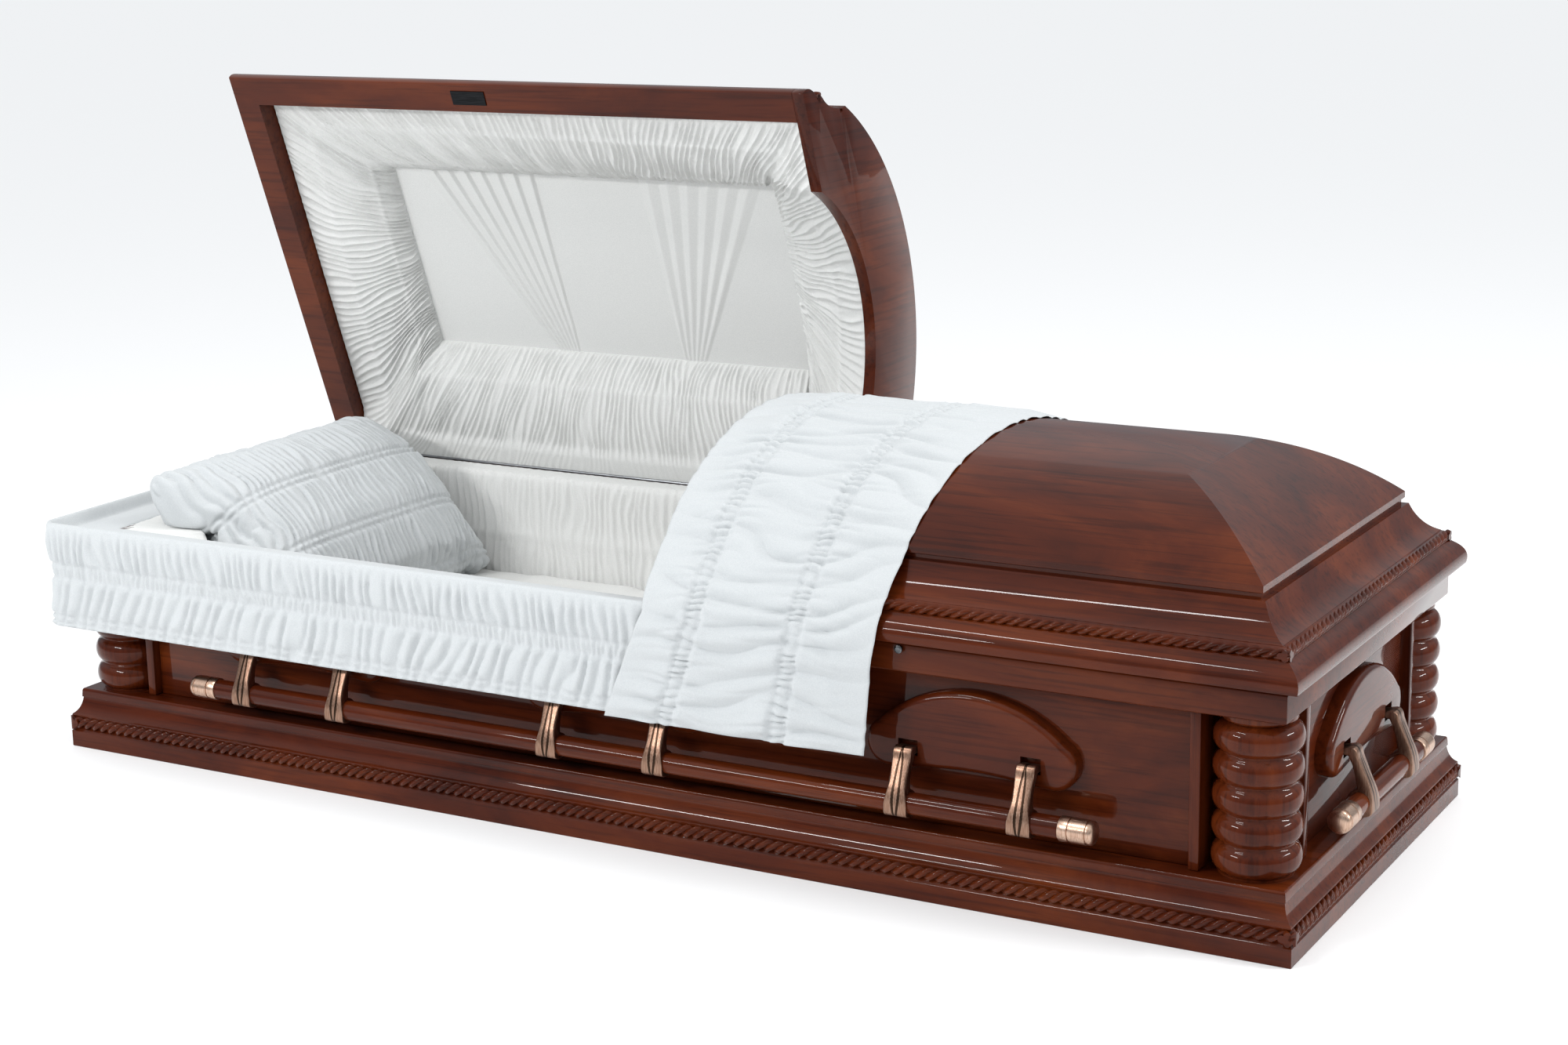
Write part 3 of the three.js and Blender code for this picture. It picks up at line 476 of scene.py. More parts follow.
def curve_points(start, towards, end, steps):
    """Points of a hollow or full curve that bends towards a third point."""
    points = []
    for i in range(steps + 1):
        t = i / steps
        points.append(tuple((1 - t) ** 2 * a + 2 * t * (1 - t) * b + t * t * c
                      for a, b, c in zip(start, towards, end)))
    return points


def bead_points(inset, z, radius, steps=8, sweep=75):
    """A round bead that faces outwards."""
    angles = [math.radians(-sweep + 2 * sweep * i / steps) for i in range(steps + 1)]
    return [(inset - radius * math.cos(a), z + radius * math.sin(a)) for a in angles]


print("helpers ready")

# %% [markdown]
# The base is a frame of one moulding, mitred at the corners: a fascia, a carved rope, a hollow
# cove and a ledge that the walls stand on. It could be swept along a path, but raising it from a
# plane gives true mitres for nothing. The rope itself comes later, over a plain core.

# %% Base moulding
FASCIA_TOP, COVE_FOOT, COVE_HEAD, BASE_TOP = 27.5, 55, 82, 97.5
BASE_BEAD = {"inset": 7, "z": 40.5, "radius": 11}
CORE = 0.55  # the core's share of a rope's radius
LEDGE_INSET = 19.5


def base_section():
    return [
        (0.8, 0), (0, 0.8), (0, FASCIA_TOP - 1), (1, FASCIA_TOP),
        *bead_points(BASE_BEAD["inset"], BASE_BEAD["z"], CORE * BASE_BEAD["radius"]),
        (1.4, COVE_FOOT - 1.5), (2, COVE_FOOT - 1),
        *curve_points((2, COVE_FOOT), (13, COVE_FOOT + 7), (16, COVE_HEAD), 12),
        (14.8, COVE_HEAD + 0.7), (14.5, COVE_HEAD + 1.8), (15.2, BASE_TOP - 4.2),
        *curve_points((15.5, BASE_TOP - 3.4), (16, BASE_TOP), (LEDGE_INSET, BASE_TOP), 4),
        (160, BASE_TOP), (160, 80), (40, 80), (40, 0),
    ]


base = mitred_ring("base_moulding_carved", base_section())
grain_by_member(base)
dress(base, "shell", "wood", wood[0], wood[1], replaces=["base_moulding"])
print("base:", len(base.data.polygons), "faces")

# %% [markdown]
# The rope is carved in the bead: three strands twisted round each other, one every 17 mm.
# A long twisted bar could be made in one go, but the pattern repeats, so one twist is modelled:
# a disc pressed into three lobes, extruded in short steps and turned a little at each step. An
# array carries it along a side, and the ends are cut at the mitres.

# %% Carved rope
ROPE_PITCH = 17  # mm along the rope from one strand to the next
STRANDS = 3
LOBE_DEPTH = 0.46  # how deep a valley is, as a share of the rope's radius
RING_POINTS = 24
TWIST_STEPS = 6
TWIST_HAND = 1  # which way the strands lean: up to the right, seen from the front


def rope_twist(radius, pitch):
    """One strand's pitch of rope, along +X from the origin, open at both ends."""
    select_nothing()
    bpy.ops.mesh.primitive_circle_add(vertices=RING_POINTS, radius=radius * MM, fill_type="NGON",
                                      rotation=(0, math.pi / 2, 0))
    twist = named("rope_twist")
    apply_place(twist)
    for vertex in twist.data.vertices:
        angle = math.atan2(vertex.co.z, vertex.co.y)
        lobe = 1 - LOBE_DEPTH * (1 - abs(math.cos(STRANDS * angle / 2)))
        vertex.co.y *= lobe
        vertex.co.z *= lobe
    edit(twist)
    bpy.ops.mesh.select_all(action="SELECT")
    for _ in range(TWIST_STEPS):
        bpy.ops.mesh.extrude_region_move(
            TRANSFORM_OT_translate={"value": (pitch / TWIST_STEPS * MM, 0, 0)})
        bpy.ops.transform.rotate(value=TWIST_HAND * 2 * math.pi / STRANDS / TWIST_STEPS,
                                 orient_axis="X", center_override=(0, 0, 0))
    bpy.ops.mesh.select_mode(type="FACE")
    bpy.ops.mesh.select_all(action="DESELECT")
    stop_edit()
    select_faces(twist, lambda f: len(f.vertices) == RING_POINTS)
    bpy.context.view_layer.objects.active = twist
    bpy.ops.object.mode_set(mode="EDIT")
    bpy.ops.mesh.delete(type="ONLY_FACE")
    stop_edit()
    return twist


def rope_side(name, bead, turn, start, end, mitres=(True, True)):
    """A rope along one side, from start to end in mm along it. turn is the side's, in degrees."""
    length = end - start
    count = max(1, round(length / ROPE_PITCH))
    pitch = length / count
    side = rope_twist(bead["radius"], pitch)
    side.name = name
    apply_modifier(side, "ARRAY", count=count, use_relative_offset=False, use_constant_offset=True,
                   constant_offset_displace=(pitch * MM, 0, 0), use_merge_vertices=True,
                   merge_threshold=1e-5)
    edit(side)
    bpy.ops.mesh.select_mode(type="EDGE")
    bpy.ops.mesh.select_non_manifold()
    bpy.ops.mesh.edge_face_add()
    stop_edit()
    depth = half_y if turn in (0, 180) else half_x
    side.location = (start * MM, (bead["inset"] - depth) * MM, bead["z"] * MM)
    apply_place(side)
    half = half_x if turn in (0, 180) else half_y
    for sign, mitre in zip((-1, 1), mitres):
        if mitre:
            cut(side, (sign * half * MM, -depth * MM, 0), (sign, -1, 0))
    side.data.transform(Matrix.Rotation(math.radians(turn), 4, "Z"))
    return side


def join(name, pieces):
    select_nothing()
    for piece in pieces:
        piece.select_set(True)
    bpy.context.view_layer.objects.active = pieces[0]
    bpy.ops.object.join()
    pieces[0].name = name
    return pieces[0]


def base_rope_side(turn):
    half = half_x if turn in (0, 180) else half_y
    reach = BASE_BEAD["radius"]
    return rope_side("rope", BASE_BEAD, turn, -half + BASE_BEAD["inset"] - reach,
                     half - BASE_BEAD["inset"] + reach)


base_rope = join("base_rope", [base_rope_side(turn) for turn in (0, 90, 180, 270)])
dress(base_rope, "shell", "wood", wood[0], angle=50)
print("base rope:", len(base_rope.data.polygons), "faces")

# %% [markdown]
# Panels, posts and the top rail are plain boards, and the frame already has them right. What it
# lacks is the eased edge that lacquer pools on, which catches a thin line of light. So each is a
# merged copy of its node with a small bevel.

# %% Eased boards
EASE = 1.6  # mm


def eased_board(name, body, along, ease=EASE, slot="wood"):
    board = merged_copy(name, f"{name}_eased")
    edit(board)
    bpy.ops.mesh.select_all(action="SELECT")
    bpy.ops.mesh.dissolve_limited(angle_limit=math.radians(2))
    stop_edit()
    apply_modifier(board, "BEVEL", width=ease * MM, segments=3, limit_method="ANGLE",
                   angle_limit=math.radians(40))
    if along is None:
        grain_by_member(board)
        return dress(board, body, slot, wood[0], wood[1], replaces=[name])
    return dress(board, body, slot, wood[along], replaces=[name])


for wall in ("front", "back"):
    eased_board(f"{wall}_panel", "shell", 0)
for wall in ("head_end", "foot_end"):
    eased_board(f"{wall}_panel", "shell", 1)
CORNERS = ("front_head", "front_foot", "back_foot", "back_head")
for corner in CORNERS:
    eased_board(f"corner_post_{corner}", "shell", 2)
eased_board("top_rail", "shell", None, ease=1.2)


def finish_node(name, material):
    """A CAD node that is kept as it is gets its finish."""
    nodes[name].data.materials.clear()
    nodes[name].data.materials.append(material)


finish_node("bottom_board", wood[0])
print("boards eased")

# %% [markdown]
# Each corner holds a turned column: five full rings on a collar, like a stack of quoits. On a
# lathe it is one profile, and here it is one disc raised through the same profile.

# %% Turned columns
RING_RADIUS, VALLEY_RADIUS, COLLAR_RADIUS, RING_COUNT = 60.4, 45.5, 51, 5
COLUMN_SIDES = 56
RING_STEPS = 12


def column_profile(foot, top):
    collar_top, neck_foot = foot + 3, top - 12.5
    pitch = (neck_foot - collar_top) / RING_COUNT
    profile = [(COLLAR_RADIUS, foot), (COLLAR_RADIUS, foot + 2.2), (COLLAR_RADIUS - 1.5, collar_top)]
    for ring in range(RING_COUNT):
        for i in range(RING_STEPS + 1):
            t = -1 + 2 * (i + 0.35) / (RING_STEPS + 0.7)
            bulge = (1 - t * t) ** 0.5
            profile.append((VALLEY_RADIUS + (RING_RADIUS - VALLEY_RADIUS) * bulge,
                            collar_top + (ring + 0.5 + t / 2) * pitch))
    profile += [(VALLEY_RADIUS, neck_foot + 1), (COLLAR_RADIUS - 1, neck_foot + 4),
                (COLLAR_RADIUS, neck_foot + 6), (COLLAR_RADIUS, top)]
    return profile


def turned_column(name, x, y, foot, top):
    profile = column_profile(foot, top)
    select_nothing()
    bpy.ops.mesh.primitive_circle_add(vertices=COLUMN_SIDES, radius=profile[0][0] * MM,
                                      fill_type="NGON", location=(0, 0, foot * MM))
    column = named(name)
    apply_place(column)
    edit(column)
    bpy.ops.mesh.select_all(action="SELECT")
    raise_steps([(radius * MM, radius * MM, z * MM) for radius, z in profile])
    stop_edit()
    column.data.transform(Matrix.Translation((x, y, 0)))
    return column


for corner in CORNERS:
    low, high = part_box(f"column_{corner}")
    middle = (low + high) / 2
    column = turned_column(f"column_{corner}_turned", middle.x, middle.y, low.z / MM, high.z / MM)
    dress(column, "shell", "wood", wood[2], replaces=[f"column_{corner}"], angle=60)
print("columns: four, of", len(column.data.polygons), "faces each")

# %% [markdown]
# A lid is a mitred moulding under a hollow crown, with a header board across its open side. The
# moulding is raised all round like the base and cut at the header. The crown starts as a plane
# and is raised along its arc until it closes in a ridge, which also makes the hipped ends. Its
# wall comes from Solidify. The head lid is made shut and then turned open about its hinge line.

# %% Lids
MOULDING_TOP, GROOVE_TOP = lid_foot + 100, lid_foot + 107.7
CROWN_INSET, CROWN_RADIUS, CROWN_WALL = 76, 452, 12
CROWN_FOOT = GROOVE_TOP + 0.3
CROWN_EDGE = CROWN_FOOT + 10
LID_BEAD = {"inset": 28, "z": lid_foot + 45, "radius": 8.5}
CROWN_STEPS = 40
hinge_low, hinge_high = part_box("head_lid_hinge")
hinge_line = (hinge_low + hinge_high) / 2
HEAD_LID_OPEN = 70  # degrees, as the head lid stands at rest
crown_centre = CROWN_EDGE - math.sqrt(CROWN_RADIUS ** 2 - (half_y - CROWN_INSET) ** 2)
lid_ends = {name: (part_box(f"{name}_header")[0].x / MM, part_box(f"{name}_header")[1].x / MM)
            for name in ("head_lid", "foot_lid")}


def moulding_outside():
    foot = lid_foot
    return [
        (2.5, foot), (1.6, foot + 1),
        *curve_points((1, foot + 4), (-3, foot + 22), (19, foot + 36.4), 14),
        (19.5, foot + 37),
        *bead_points(LID_BEAD["inset"], LID_BEAD["z"], CORE * LID_BEAD["radius"]),
        (31, foot + 53.6), (33, foot + 54.4),
        *curve_points((33, foot + 55), (58, foot + 66), (71, MOULDING_TOP - 1), 16),
        (71.6, MOULDING_TOP), (80, MOULDING_TOP), (80, GROOVE_TOP),
    ]


def moulding_inside():
    return [(100, GROOVE_TOP), (100, MOULDING_TOP), (72, MOULDING_TOP - 36),
            (50.8, MOULDING_TOP - 60), (50, MOULDING_TOP - 62), (50, lid_foot + 0.8), (50.8, lid_foot)]


def crown_arc(inset=CROWN_INSET, radius=CROWN_RADIUS, steps=CROWN_STEPS):
    sweep = math.asin((half_y - inset) / radius)
    angles = [sweep * (1 - i / steps) for i in range(steps + 1)]
    return [(half_y - radius * math.sin(a), crown_centre + radius * math.cos(a)) for a in angles]


def open_lid(piece):
    """Turns a piece of the head lid from shut to open."""
    turn = Matrix.Rotation(-math.radians(HEAD_LID_OPEN), 4, "X")
    to_line = Matrix.Translation((0, hinge_line.y, hinge_line.z))
    piece.data.transform(to_line @ turn @ to_line.inverted())


def crown_shell(name):
    arc = crown_arc()
    arc[-1] = (half_y - 0.05, arc[-1][1])
    edge = [(CROWN_INSET + 1, CROWN_FOOT), (CROWN_INSET, CROWN_FOOT + 1), (CROWN_INSET, CROWN_EDGE - 1.5)]
    shell = raised_plane(name, edge + arc)
    select_faces(shell, lambda f: f.center.z < (CROWN_FOOT + 0.01) * MM)
    bpy.context.view_layer.objects.active = shell
    bpy.ops.object.mode_set(mode="EDIT")
    bpy.ops.mesh.delete(type="ONLY_FACE")
    bpy.ops.mesh.select_all(action="SELECT")
    bpy.ops.mesh.remove_doubles(threshold=0.2 * MM)
    bpy.ops.mesh.normals_make_consistent(inside=False)
    stop_edit()
    apply_modifier(shell, "SOLIDIFY", thickness=CROWN_WALL * MM, offset=-1, use_even_offset=True)
    return shell


def outline_board(name, outline, x, thickness):
    """A board across the casket, from its outline in (inset from the front, z)."""
    board = outline_face(name, [(x, inset - half_y, z) for inset, z in outline])
    edit(board)
    bpy.ops.mesh.select_all(action="SELECT")
    bpy.ops.mesh.extrude_region_move(TRANSFORM_OT_translate={"value": (thickness * MM, 0, 0)})
    bpy.ops.mesh.select_all(action="SELECT")
    bpy.ops.mesh.normals_make_consistent(inside=False)
    stop_edit()
    return board


ARCH_SPAN, ARCH_RISE, ARCH_STEPS = 426, 89, 28


def header_outline():
    half = moulding_outside() + [(CROWN_INSET, GROOVE_TOP)] + crown_arc()
    mirrored = [(2 * half_y - inset, z) for inset, z in reversed(half[:-1])]
    radius = ((ARCH_SPAN / 2) ** 2 + ARCH_RISE ** 2) / (2 * ARCH_RISE)
    sweep = math.asin(ARCH_SPAN / 2 / radius)
    angles = [sweep * (1 - 2 * i / ARCH_STEPS) for i in range(ARCH_STEPS + 1)]
    arch = [(half_y + radius * math.sin(a), lid_foot + ARCH_RISE - radius + radius * math.cos(a))
            for a in angles]
    return half + mirrored + arch


def build_lid(name, body, head_side):
    low, high = lid_ends[name]
    inner = low - 0.3 if head_side else high + 0.3
    away = (1, 0, 0) if head_side else (-1, 0, 0)
    moulding = mitred_ring(f"{name}_moulding_run", moulding_outside() + moulding_inside())
    cut(moulding, (inner * MM, 0, 0), away)
    grain_by_member(moulding)
    crown = crown_shell(f"{name}_crown_shell")
    cut(crown, (inner * MM, 0, 0), away)
    grain_by_member(crown)
    header = outline_board(f"{name}_header_board", header_outline(), low, high - low)
    apply_modifier(header, "BEVEL", width=0.8 * MM, segments=2, limit_method="ANGLE",
                   angle_limit=math.radians(60))
    ropes = [rope_side("rope", LID_BEAD, turn, start, end, mitres) for turn, start, end, mitres in (
        lid_rope_runs(low, high, head_side))]
    rope = join(f"{name}_rope", ropes)
    for piece in (moulding, crown, header, rope):
        if head_side:
            open_lid(piece)
    dress(moulding, body, "wood", wood[0], wood[1], replaces=[f"{name}_moulding"])
    dress(crown, body, "wood", wood[0], wood[1], replaces=[f"{name}_crown"], angle=24)
    dress(header, body, "wood", wood[1], replaces=[f"{name}_header"])
    dress(rope, body, "wood", wood[0], angle=50)
    print(name, "crown", len(crown.data.polygons), "faces, rope", len(rope.data.polygons))


def lid_rope_runs(low, high, head_side):
    """Which rope runs a lid has: front, back and its own end. x along a side grows to its right."""
    reach = LID_BEAD["radius"] - LID_BEAD["inset"]
    end_x, end_y = half_x + reach, half_y + reach
    if head_side:
        return [(0, -end_x, high, (True, False)), (180, -high, end_x, (False, True)),
                (270, -end_y, end_y, (True, True))]
    return [(0, low, end_x, (False, True)), (180, -end_x, -low, (True, False)),
            (90, -end_y, end_y, (True, True))]


build_lid("head_lid", "head_lid", True)
build_lid("foot_lid", "foot_lid", False)

# %% [markdown]
# Behind each pair of handle arms lies a kidney-shaped lug plate, with a wide rounded edge and a
# slot where each arm hangs. It starts as a disc whose points move to the kidney's outline, is
# extruded to its depth, and its front edge is bevelled. A boolean cuts the slots.

# %% Lug plates
LUG = {"half": 159, "top": 300, "foot": 178, "lobe": 36, "arc": 206, "hollow": 9, "round": 10}
LUG_FACE, LUG_BACK = 26, 49.7
ARM_SPREAD, PIVOT_Z, PIVOT_DEPTH = 92.3, 209, 37.5
SLOT_WIDTH, SLOT_BELOW, SLOT_ABOVE = 30, 9, 14


def arc(cx, cz, radius, start, end, steps):
    return [(cx + radius * math.cos(start + (end - start) * i / steps),
             cz + radius * math.sin(start + (end - start) * i / steps)) for i in range(steps + 1)]


def lug_outline():
    lobe_x, lobe_z = LUG["half"] - LUG["lobe"], LUG["foot"] + LUG["lobe"]
    arc_z = LUG["top"] - LUG["arc"]
    meet = math.atan2(lobe_z - arc_z, lobe_x)
    right = arc(lobe_x, lobe_z, LUG["lobe"], -math.pi / 2, meet, 14)
    top = arc(0, arc_z, LUG["arc"], meet, math.pi - meet, 36)[1:-1]
    left = [(-x, z) for x, z in reversed(right)]
    hollow = [(lobe_x * (i / 9 - 1), LUG["foot"] + LUG["hollow"] * math.sin(math.pi / 2 * (i / 9)) ** 1.4)
              for i in range(1, 9)]
    hollow += [(-x, z) for x, z in reversed(hollow)]
    return right + top + left + hollow


def lug_plate():
    """A lug plate of the front wall, centred on x = 0."""
    plate = outline_face("lug_plate", [(x, LUG_BACK - half_y, z) for x, z in lug_outline()])
    edit(plate)
    bpy.ops.mesh.select_all(action="SELECT")
    bpy.ops.mesh.extrude_region_move(
        TRANSFORM_OT_translate={"value": (0, (LUG_FACE - LUG_BACK) * MM, 0)})
    bpy.ops.mesh.bevel(offset=LUG["round"] * MM, segments=6, affect="EDGES")
    bpy.ops.mesh.select_all(action="SELECT")
    bpy.ops.mesh.normals_make_consistent(inside=False)
    stop_edit()
    for side in (-1, 1):
        select_nothing()
        bpy.ops.mesh.primitive_cube_add(size=1)
        slot = named("slot")
        slot.scale = (SLOT_WIDTH * MM, 2 * (PIVOT_DEPTH - LUG_FACE) * MM, (SLOT_BELOW + SLOT_ABOVE) * MM)
        slot.location = (side * ARM_SPREAD * MM, (LUG_FACE - half_y) * MM,
                         (PIVOT_Z + (SLOT_ABOVE - SLOT_BELOW) / 2) * MM)
        apply_place(slot)
        apply_modifier(plate, "BOOLEAN", object=slot, operation="DIFFERENCE", solver="EXACT")
        bpy.data.objects.remove(slot)
    return plate


WALLS = {"front": 0, "foot_end": 90, "back": 180, "head_end": 270}


def to_wall(piece, wall, x):
    """Moves a piece of the front wall along it, then to another wall."""
    depth = (half_y if wall in ("front", "back") else half_x) - half_y
    turn = Matrix.Rotation(math.radians(WALLS[wall]), 4, "Z")
    piece.data.transform(turn @ Matrix.Translation((x * MM, -depth * MM, 0)))


def middle_along(wall, node):
    """Where a node's middle lies along its wall, in mm."""
    low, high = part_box(node)
    middle = Matrix.Rotation(-math.radians(WALLS[wall]), 4, "Z") @ ((low + high) / 2)
    return middle.x / MM


lug_model = lug_plate()
for wall in WALLS:
    labels = ["_1", "_2", "_3"] if wall in ("front", "back") else [""]
    for label in labels:
        node = f"{wall}_lug_plate{label}"
        plate = copy_of(lug_model, f"{node}_shaped")
        to_wall(plate, wall, middle_along(wall, node))
        dress(plate, "shell", "wood", wood[0] if len(labels) == 3 else wood[1], replaces=[node])
bpy.data.objects.remove(lug_model)
print("lug plates: eight")

# %% [markdown]
# A handle hangs from cast arms, and each arm carries two etched lines that part, swell and meet
# like the edges of a leaf. The lines are too shallow to shade by themselves, so they are in the
# finish and not in the mesh. They are worked out from the arm's own map, whose first axis runs
# across the strap and whose second runs up it.

# %% Arm finish
LEAF_OUTER, LEAF_INNER, LEAF_START = 0.17, 0.11, 0.07  # shares of the strap's width


def etched_copper():
    material, tree, shader = new_finish("antique copper plate, etched", {
        "Metallic": 1.0, "Roughness": 0.34})

    def math_node(operation, *values):
        node = add_node(tree, "ShaderNodeMath", {"operation": operation})
        for socket, value in zip(node.inputs, values):
            if isinstance(value, (int, float)):
                socket.default_value = value
            else:
                tree.links.new(value, socket)
        return node.outputs[0]

    strap = add_node(tree, "ShaderNodeUVMap", {"uv_map": "strap"}).outputs["UV"]
    axes = add_node(tree, "ShaderNodeSeparateXYZ", Vector=strap)
    away = math_node("ABSOLUTE", math_node("SUBTRACT", axes.outputs["X"], 0.5))
    turn = math_node("MULTIPLY", axes.outputs["Y"], math.pi)
    swell = math_node("MAXIMUM", math_node("SINE", turn), 0.0)
    outer = math_node("MULTIPLY_ADD", swell, LEAF_OUTER, LEAF_START)
    inner = math_node("MULTIPLY", swell, LEAF_INNER)
    share = math_node("DIVIDE", math_node("SUBTRACT", away, inner), math_node("SUBTRACT", outer, inner))
    place = add_node(tree, "ShaderNodeTexCoord").outputs["Object"]
    streaks = add_node(tree, "ShaderNodeMapping", {"Scale": (1 / (STREAK * MM), 1 / (STREAK * MM), 60)},
                       Vector=place)
    noise = add_node(tree, "ShaderNodeTexNoise", {"Scale": 0.6, "Detail": 3.0},
                     Vector=streaks.outputs["Vector"])
    brushed = ramp(tree, noise.outputs["Fac"], [(0.3, "#7a5847"), (0.7, "#a08371")])
    leaf = ramp(tree, math_node("MULTIPLY_ADD", share, 0.4, 0.3), [
        (0.26, "#ffffff"), (0.29, "#2c2622"), (0.36, "#6a6865"), (0.62, "#6a6865"), (0.69, "#2c2622"),
        (0.73, "#ffffff")])
    mixed = add_node(tree, "ShaderNodeMix", {"data_type": "RGBA", "blend_type": "MULTIPLY"})
    mixed.inputs[0].default_value = 1.0
    tree.links.new(brushed, mixed.inputs[6])
    tree.links.new(leaf, mixed.inputs[7])
    tree.links.new(mixed.outputs[2], shader.inputs["Base Color"])
    return material


etched = etched_copper()
print("etched copper ready")

# %% [markdown]
# The arm itself is a strap that narrows at its waist, with an eye at its foot for the bar. It
# could be cut from a block, but its side view says nearly all: that is drawn as an outline and
# extruded to its width. Then its points are drawn in to the waist, and its edges are bevelled.

# %% Handle arms
BAR_RADIUS, BAR_INSET, BAR_Z = 15.5, 2, 140
ARM_EYE = BAR_RADIUS + 0.4 + 3.2
ARM_WIDTHS = {"top": 28, "waist": 24, "foot": 35}
ARM_FRONT = BAR_INSET - ARM_EYE


def soft_share(value, low, high):
    """How far a value is from low to high, from 0 to 1, with a soft start and end."""
    t = min(1, max(0, (value - low) / (high - low)))
    return t * t * (3 - 2 * t)


def arm_width(z):
    waist_z = (PIVOT_Z + BAR_Z) / 2
    above, below = soft_share(z, waist_z, PIVOT_Z), 1 - soft_share(z, BAR_Z - 4, waist_z)
    return (ARM_WIDTHS["waist"] + above * (ARM_WIDTHS["top"] - ARM_WIDTHS["waist"])
            + below * (ARM_WIDTHS["foot"] - ARM_WIDTHS["waist"]))


def along_line(start, end, steps):
    return [tuple(a + (b - a) * i / steps for a, b in zip(start, end)) for i in range(1, steps + 1)]


def arm_outline():
    knee = LUG_FACE - 14
    tongue_top, tongue_foot = PIVOT_Z + 4.5, PIVOT_Z - 4.5
    points = [(36.5, PIVOT_Z), (35, tongue_top - 1), (32, tongue_top), (knee + 5, tongue_top + 3.2)]
    points += curve_points((knee + 3, tongue_top + 3), (knee - 4, tongue_top + 3),
                           (knee - 6, PIVOT_Z - 6), 6)
    points += along_line((knee - 6, PIVOT_Z - 6), (ARM_FRONT + 6, BAR_Z + 24), 8)
    points += curve_points((ARM_FRONT + 5.4, BAR_Z + 22), (ARM_FRONT, BAR_Z + 8),
                           (ARM_FRONT, BAR_Z - 6), 6)
    points += curve_points((ARM_FRONT, BAR_Z - 10), (ARM_FRONT, BAR_Z - ARM_EYE),
                           (BAR_INSET, BAR_Z - ARM_EYE - 0.4), 6)
    back = arc(BAR_INSET, BAR_Z, ARM_EYE, -math.pi / 2, math.pi / 2 * 0.86, 12)[1:]
    points += back
    points += along_line(back[-1], (knee + 2, PIVOT_Z - 18), 6)
    points += [(knee + 8, tongue_foot), (32, tongue_foot), (35, tongue_foot + 1)]
    return points


def arm_model():
    arm = outline_face("arm", [(-500, inset - half_y, z) for inset, z in arm_outline()])
    edit(arm)
    bpy.ops.mesh.select_all(action="SELECT")
    bpy.ops.mesh.extrude_region_move(TRANSFORM_OT_translate={"value": (1, 0, 0)})
    bpy.ops.mesh.select_all(action="SELECT")
    bpy.ops.mesh.normals_make_consistent(inside=False)
    stop_edit()
    for vertex in arm.data.vertices:
        vertex.co.x *= arm_width(vertex.co.z / MM) * MM
    apply_modifier(arm, "BEVEL", width=1.6 * MM, segments=3, limit_method="ANGLE",
                   angle_limit=math.radians(50))
    strap = arm.data.uv_layers.new(name="strap")
    foot, top = BAR_Z - ARM_EYE, PIVOT_Z + 4
    for loop in arm.data.loops:
        co = arm.data.vertices[loop.vertex_index].co
        strap.data[loop.index].uv = (0.5 + co.x / MM / arm_width(co.z / MM),
                                     (co.z / MM - foot) / (top - foot))
    return arm


arm = arm_model()
arm_side = {face.index for face in arm.data.polygons if face.normal.y > -0.3}
for wall in WALLS:
    for number in range(1, 7 if wall in ("front", "back") else 3):
        node = f"{wall}_arm_{number}"
        piece = copy_of(arm, f"{node}_cast")
        for face in piece.data.polygons:
            face.material_index = 1 if face.index in arm_side else 0
        to_wall(piece, wall, middle_along(wall, node))
        dress(piece, f"{wall}_handle", "copper", etched, copper, replaces=[node])
bpy.data.objects.remove(arm)
print("arms: sixteen")

# %% [markdown]
# The bar is turned from the same wood, and each end wears a cap: two bright bands with dark
# rings between them and a domed button.

# %% Bars and caps
CAP_LENGTH, CAP_RADIUS = 52, 17.5
BAR_SIDES = 40


def turned_along_x(name, profile):
    """A turning along X at the bar's height, from (x, radius) pairs in mm."""
    select_nothing()
    bpy.ops.mesh.primitive_circle_add(vertices=BAR_SIDES, radius=profile[0][1] * MM, fill_type="NGON",
                                      rotation=(0, math.pi / 2, 0), location=(profile[0][0] * MM, 0, 0))
    piece = named(name)
    apply_place(piece)
    edit(piece)
    bpy.ops.mesh.select_all(action="SELECT")
    for (x0, r0), (x1, r1) in zip(profile, profile[1:]):
        bpy.ops.mesh.extrude_region_move(TRANSFORM_OT_translate={"value": ((x1 - x0) * MM, 0, 0)})
        bpy.ops.transform.resize(value=(1, r1 / r0, r1 / r0), center_override=(0, 0, 0))
    bpy.ops.mesh.select_all(action="SELECT")
    bpy.ops.mesh.normals_make_consistent(inside=False)
    stop_edit()
    piece.data.transform(Matrix.Translation((0, (BAR_INSET - half_y) * MM, BAR_Z * MM)))
    return piece


def cap_profile(half):
    foot = half - CAP_LENGTH
    bright, ring = CAP_RADIUS, CAP_RADIUS - 1.6
    return [(foot, BAR_RADIUS + 0.2), (foot + 0.4, bright - 0.4), (foot + 1, bright), (foot + 14, bright),
            (foot + 14.5, ring), (foot + 16.2, ring), (foot + 16.7, bright), (foot + 39.5, bright),
            (foot + 40, ring), (foot + 42, ring), (foot + 42.5, bright - 0.6), (foot + 46, bright - 0.8),
            (foot + 48.6, bright - 2.6), (foot + 50.6, bright - 6.5), (foot + 51.6, bright - 11),
            (foot + 52, 0.5)]


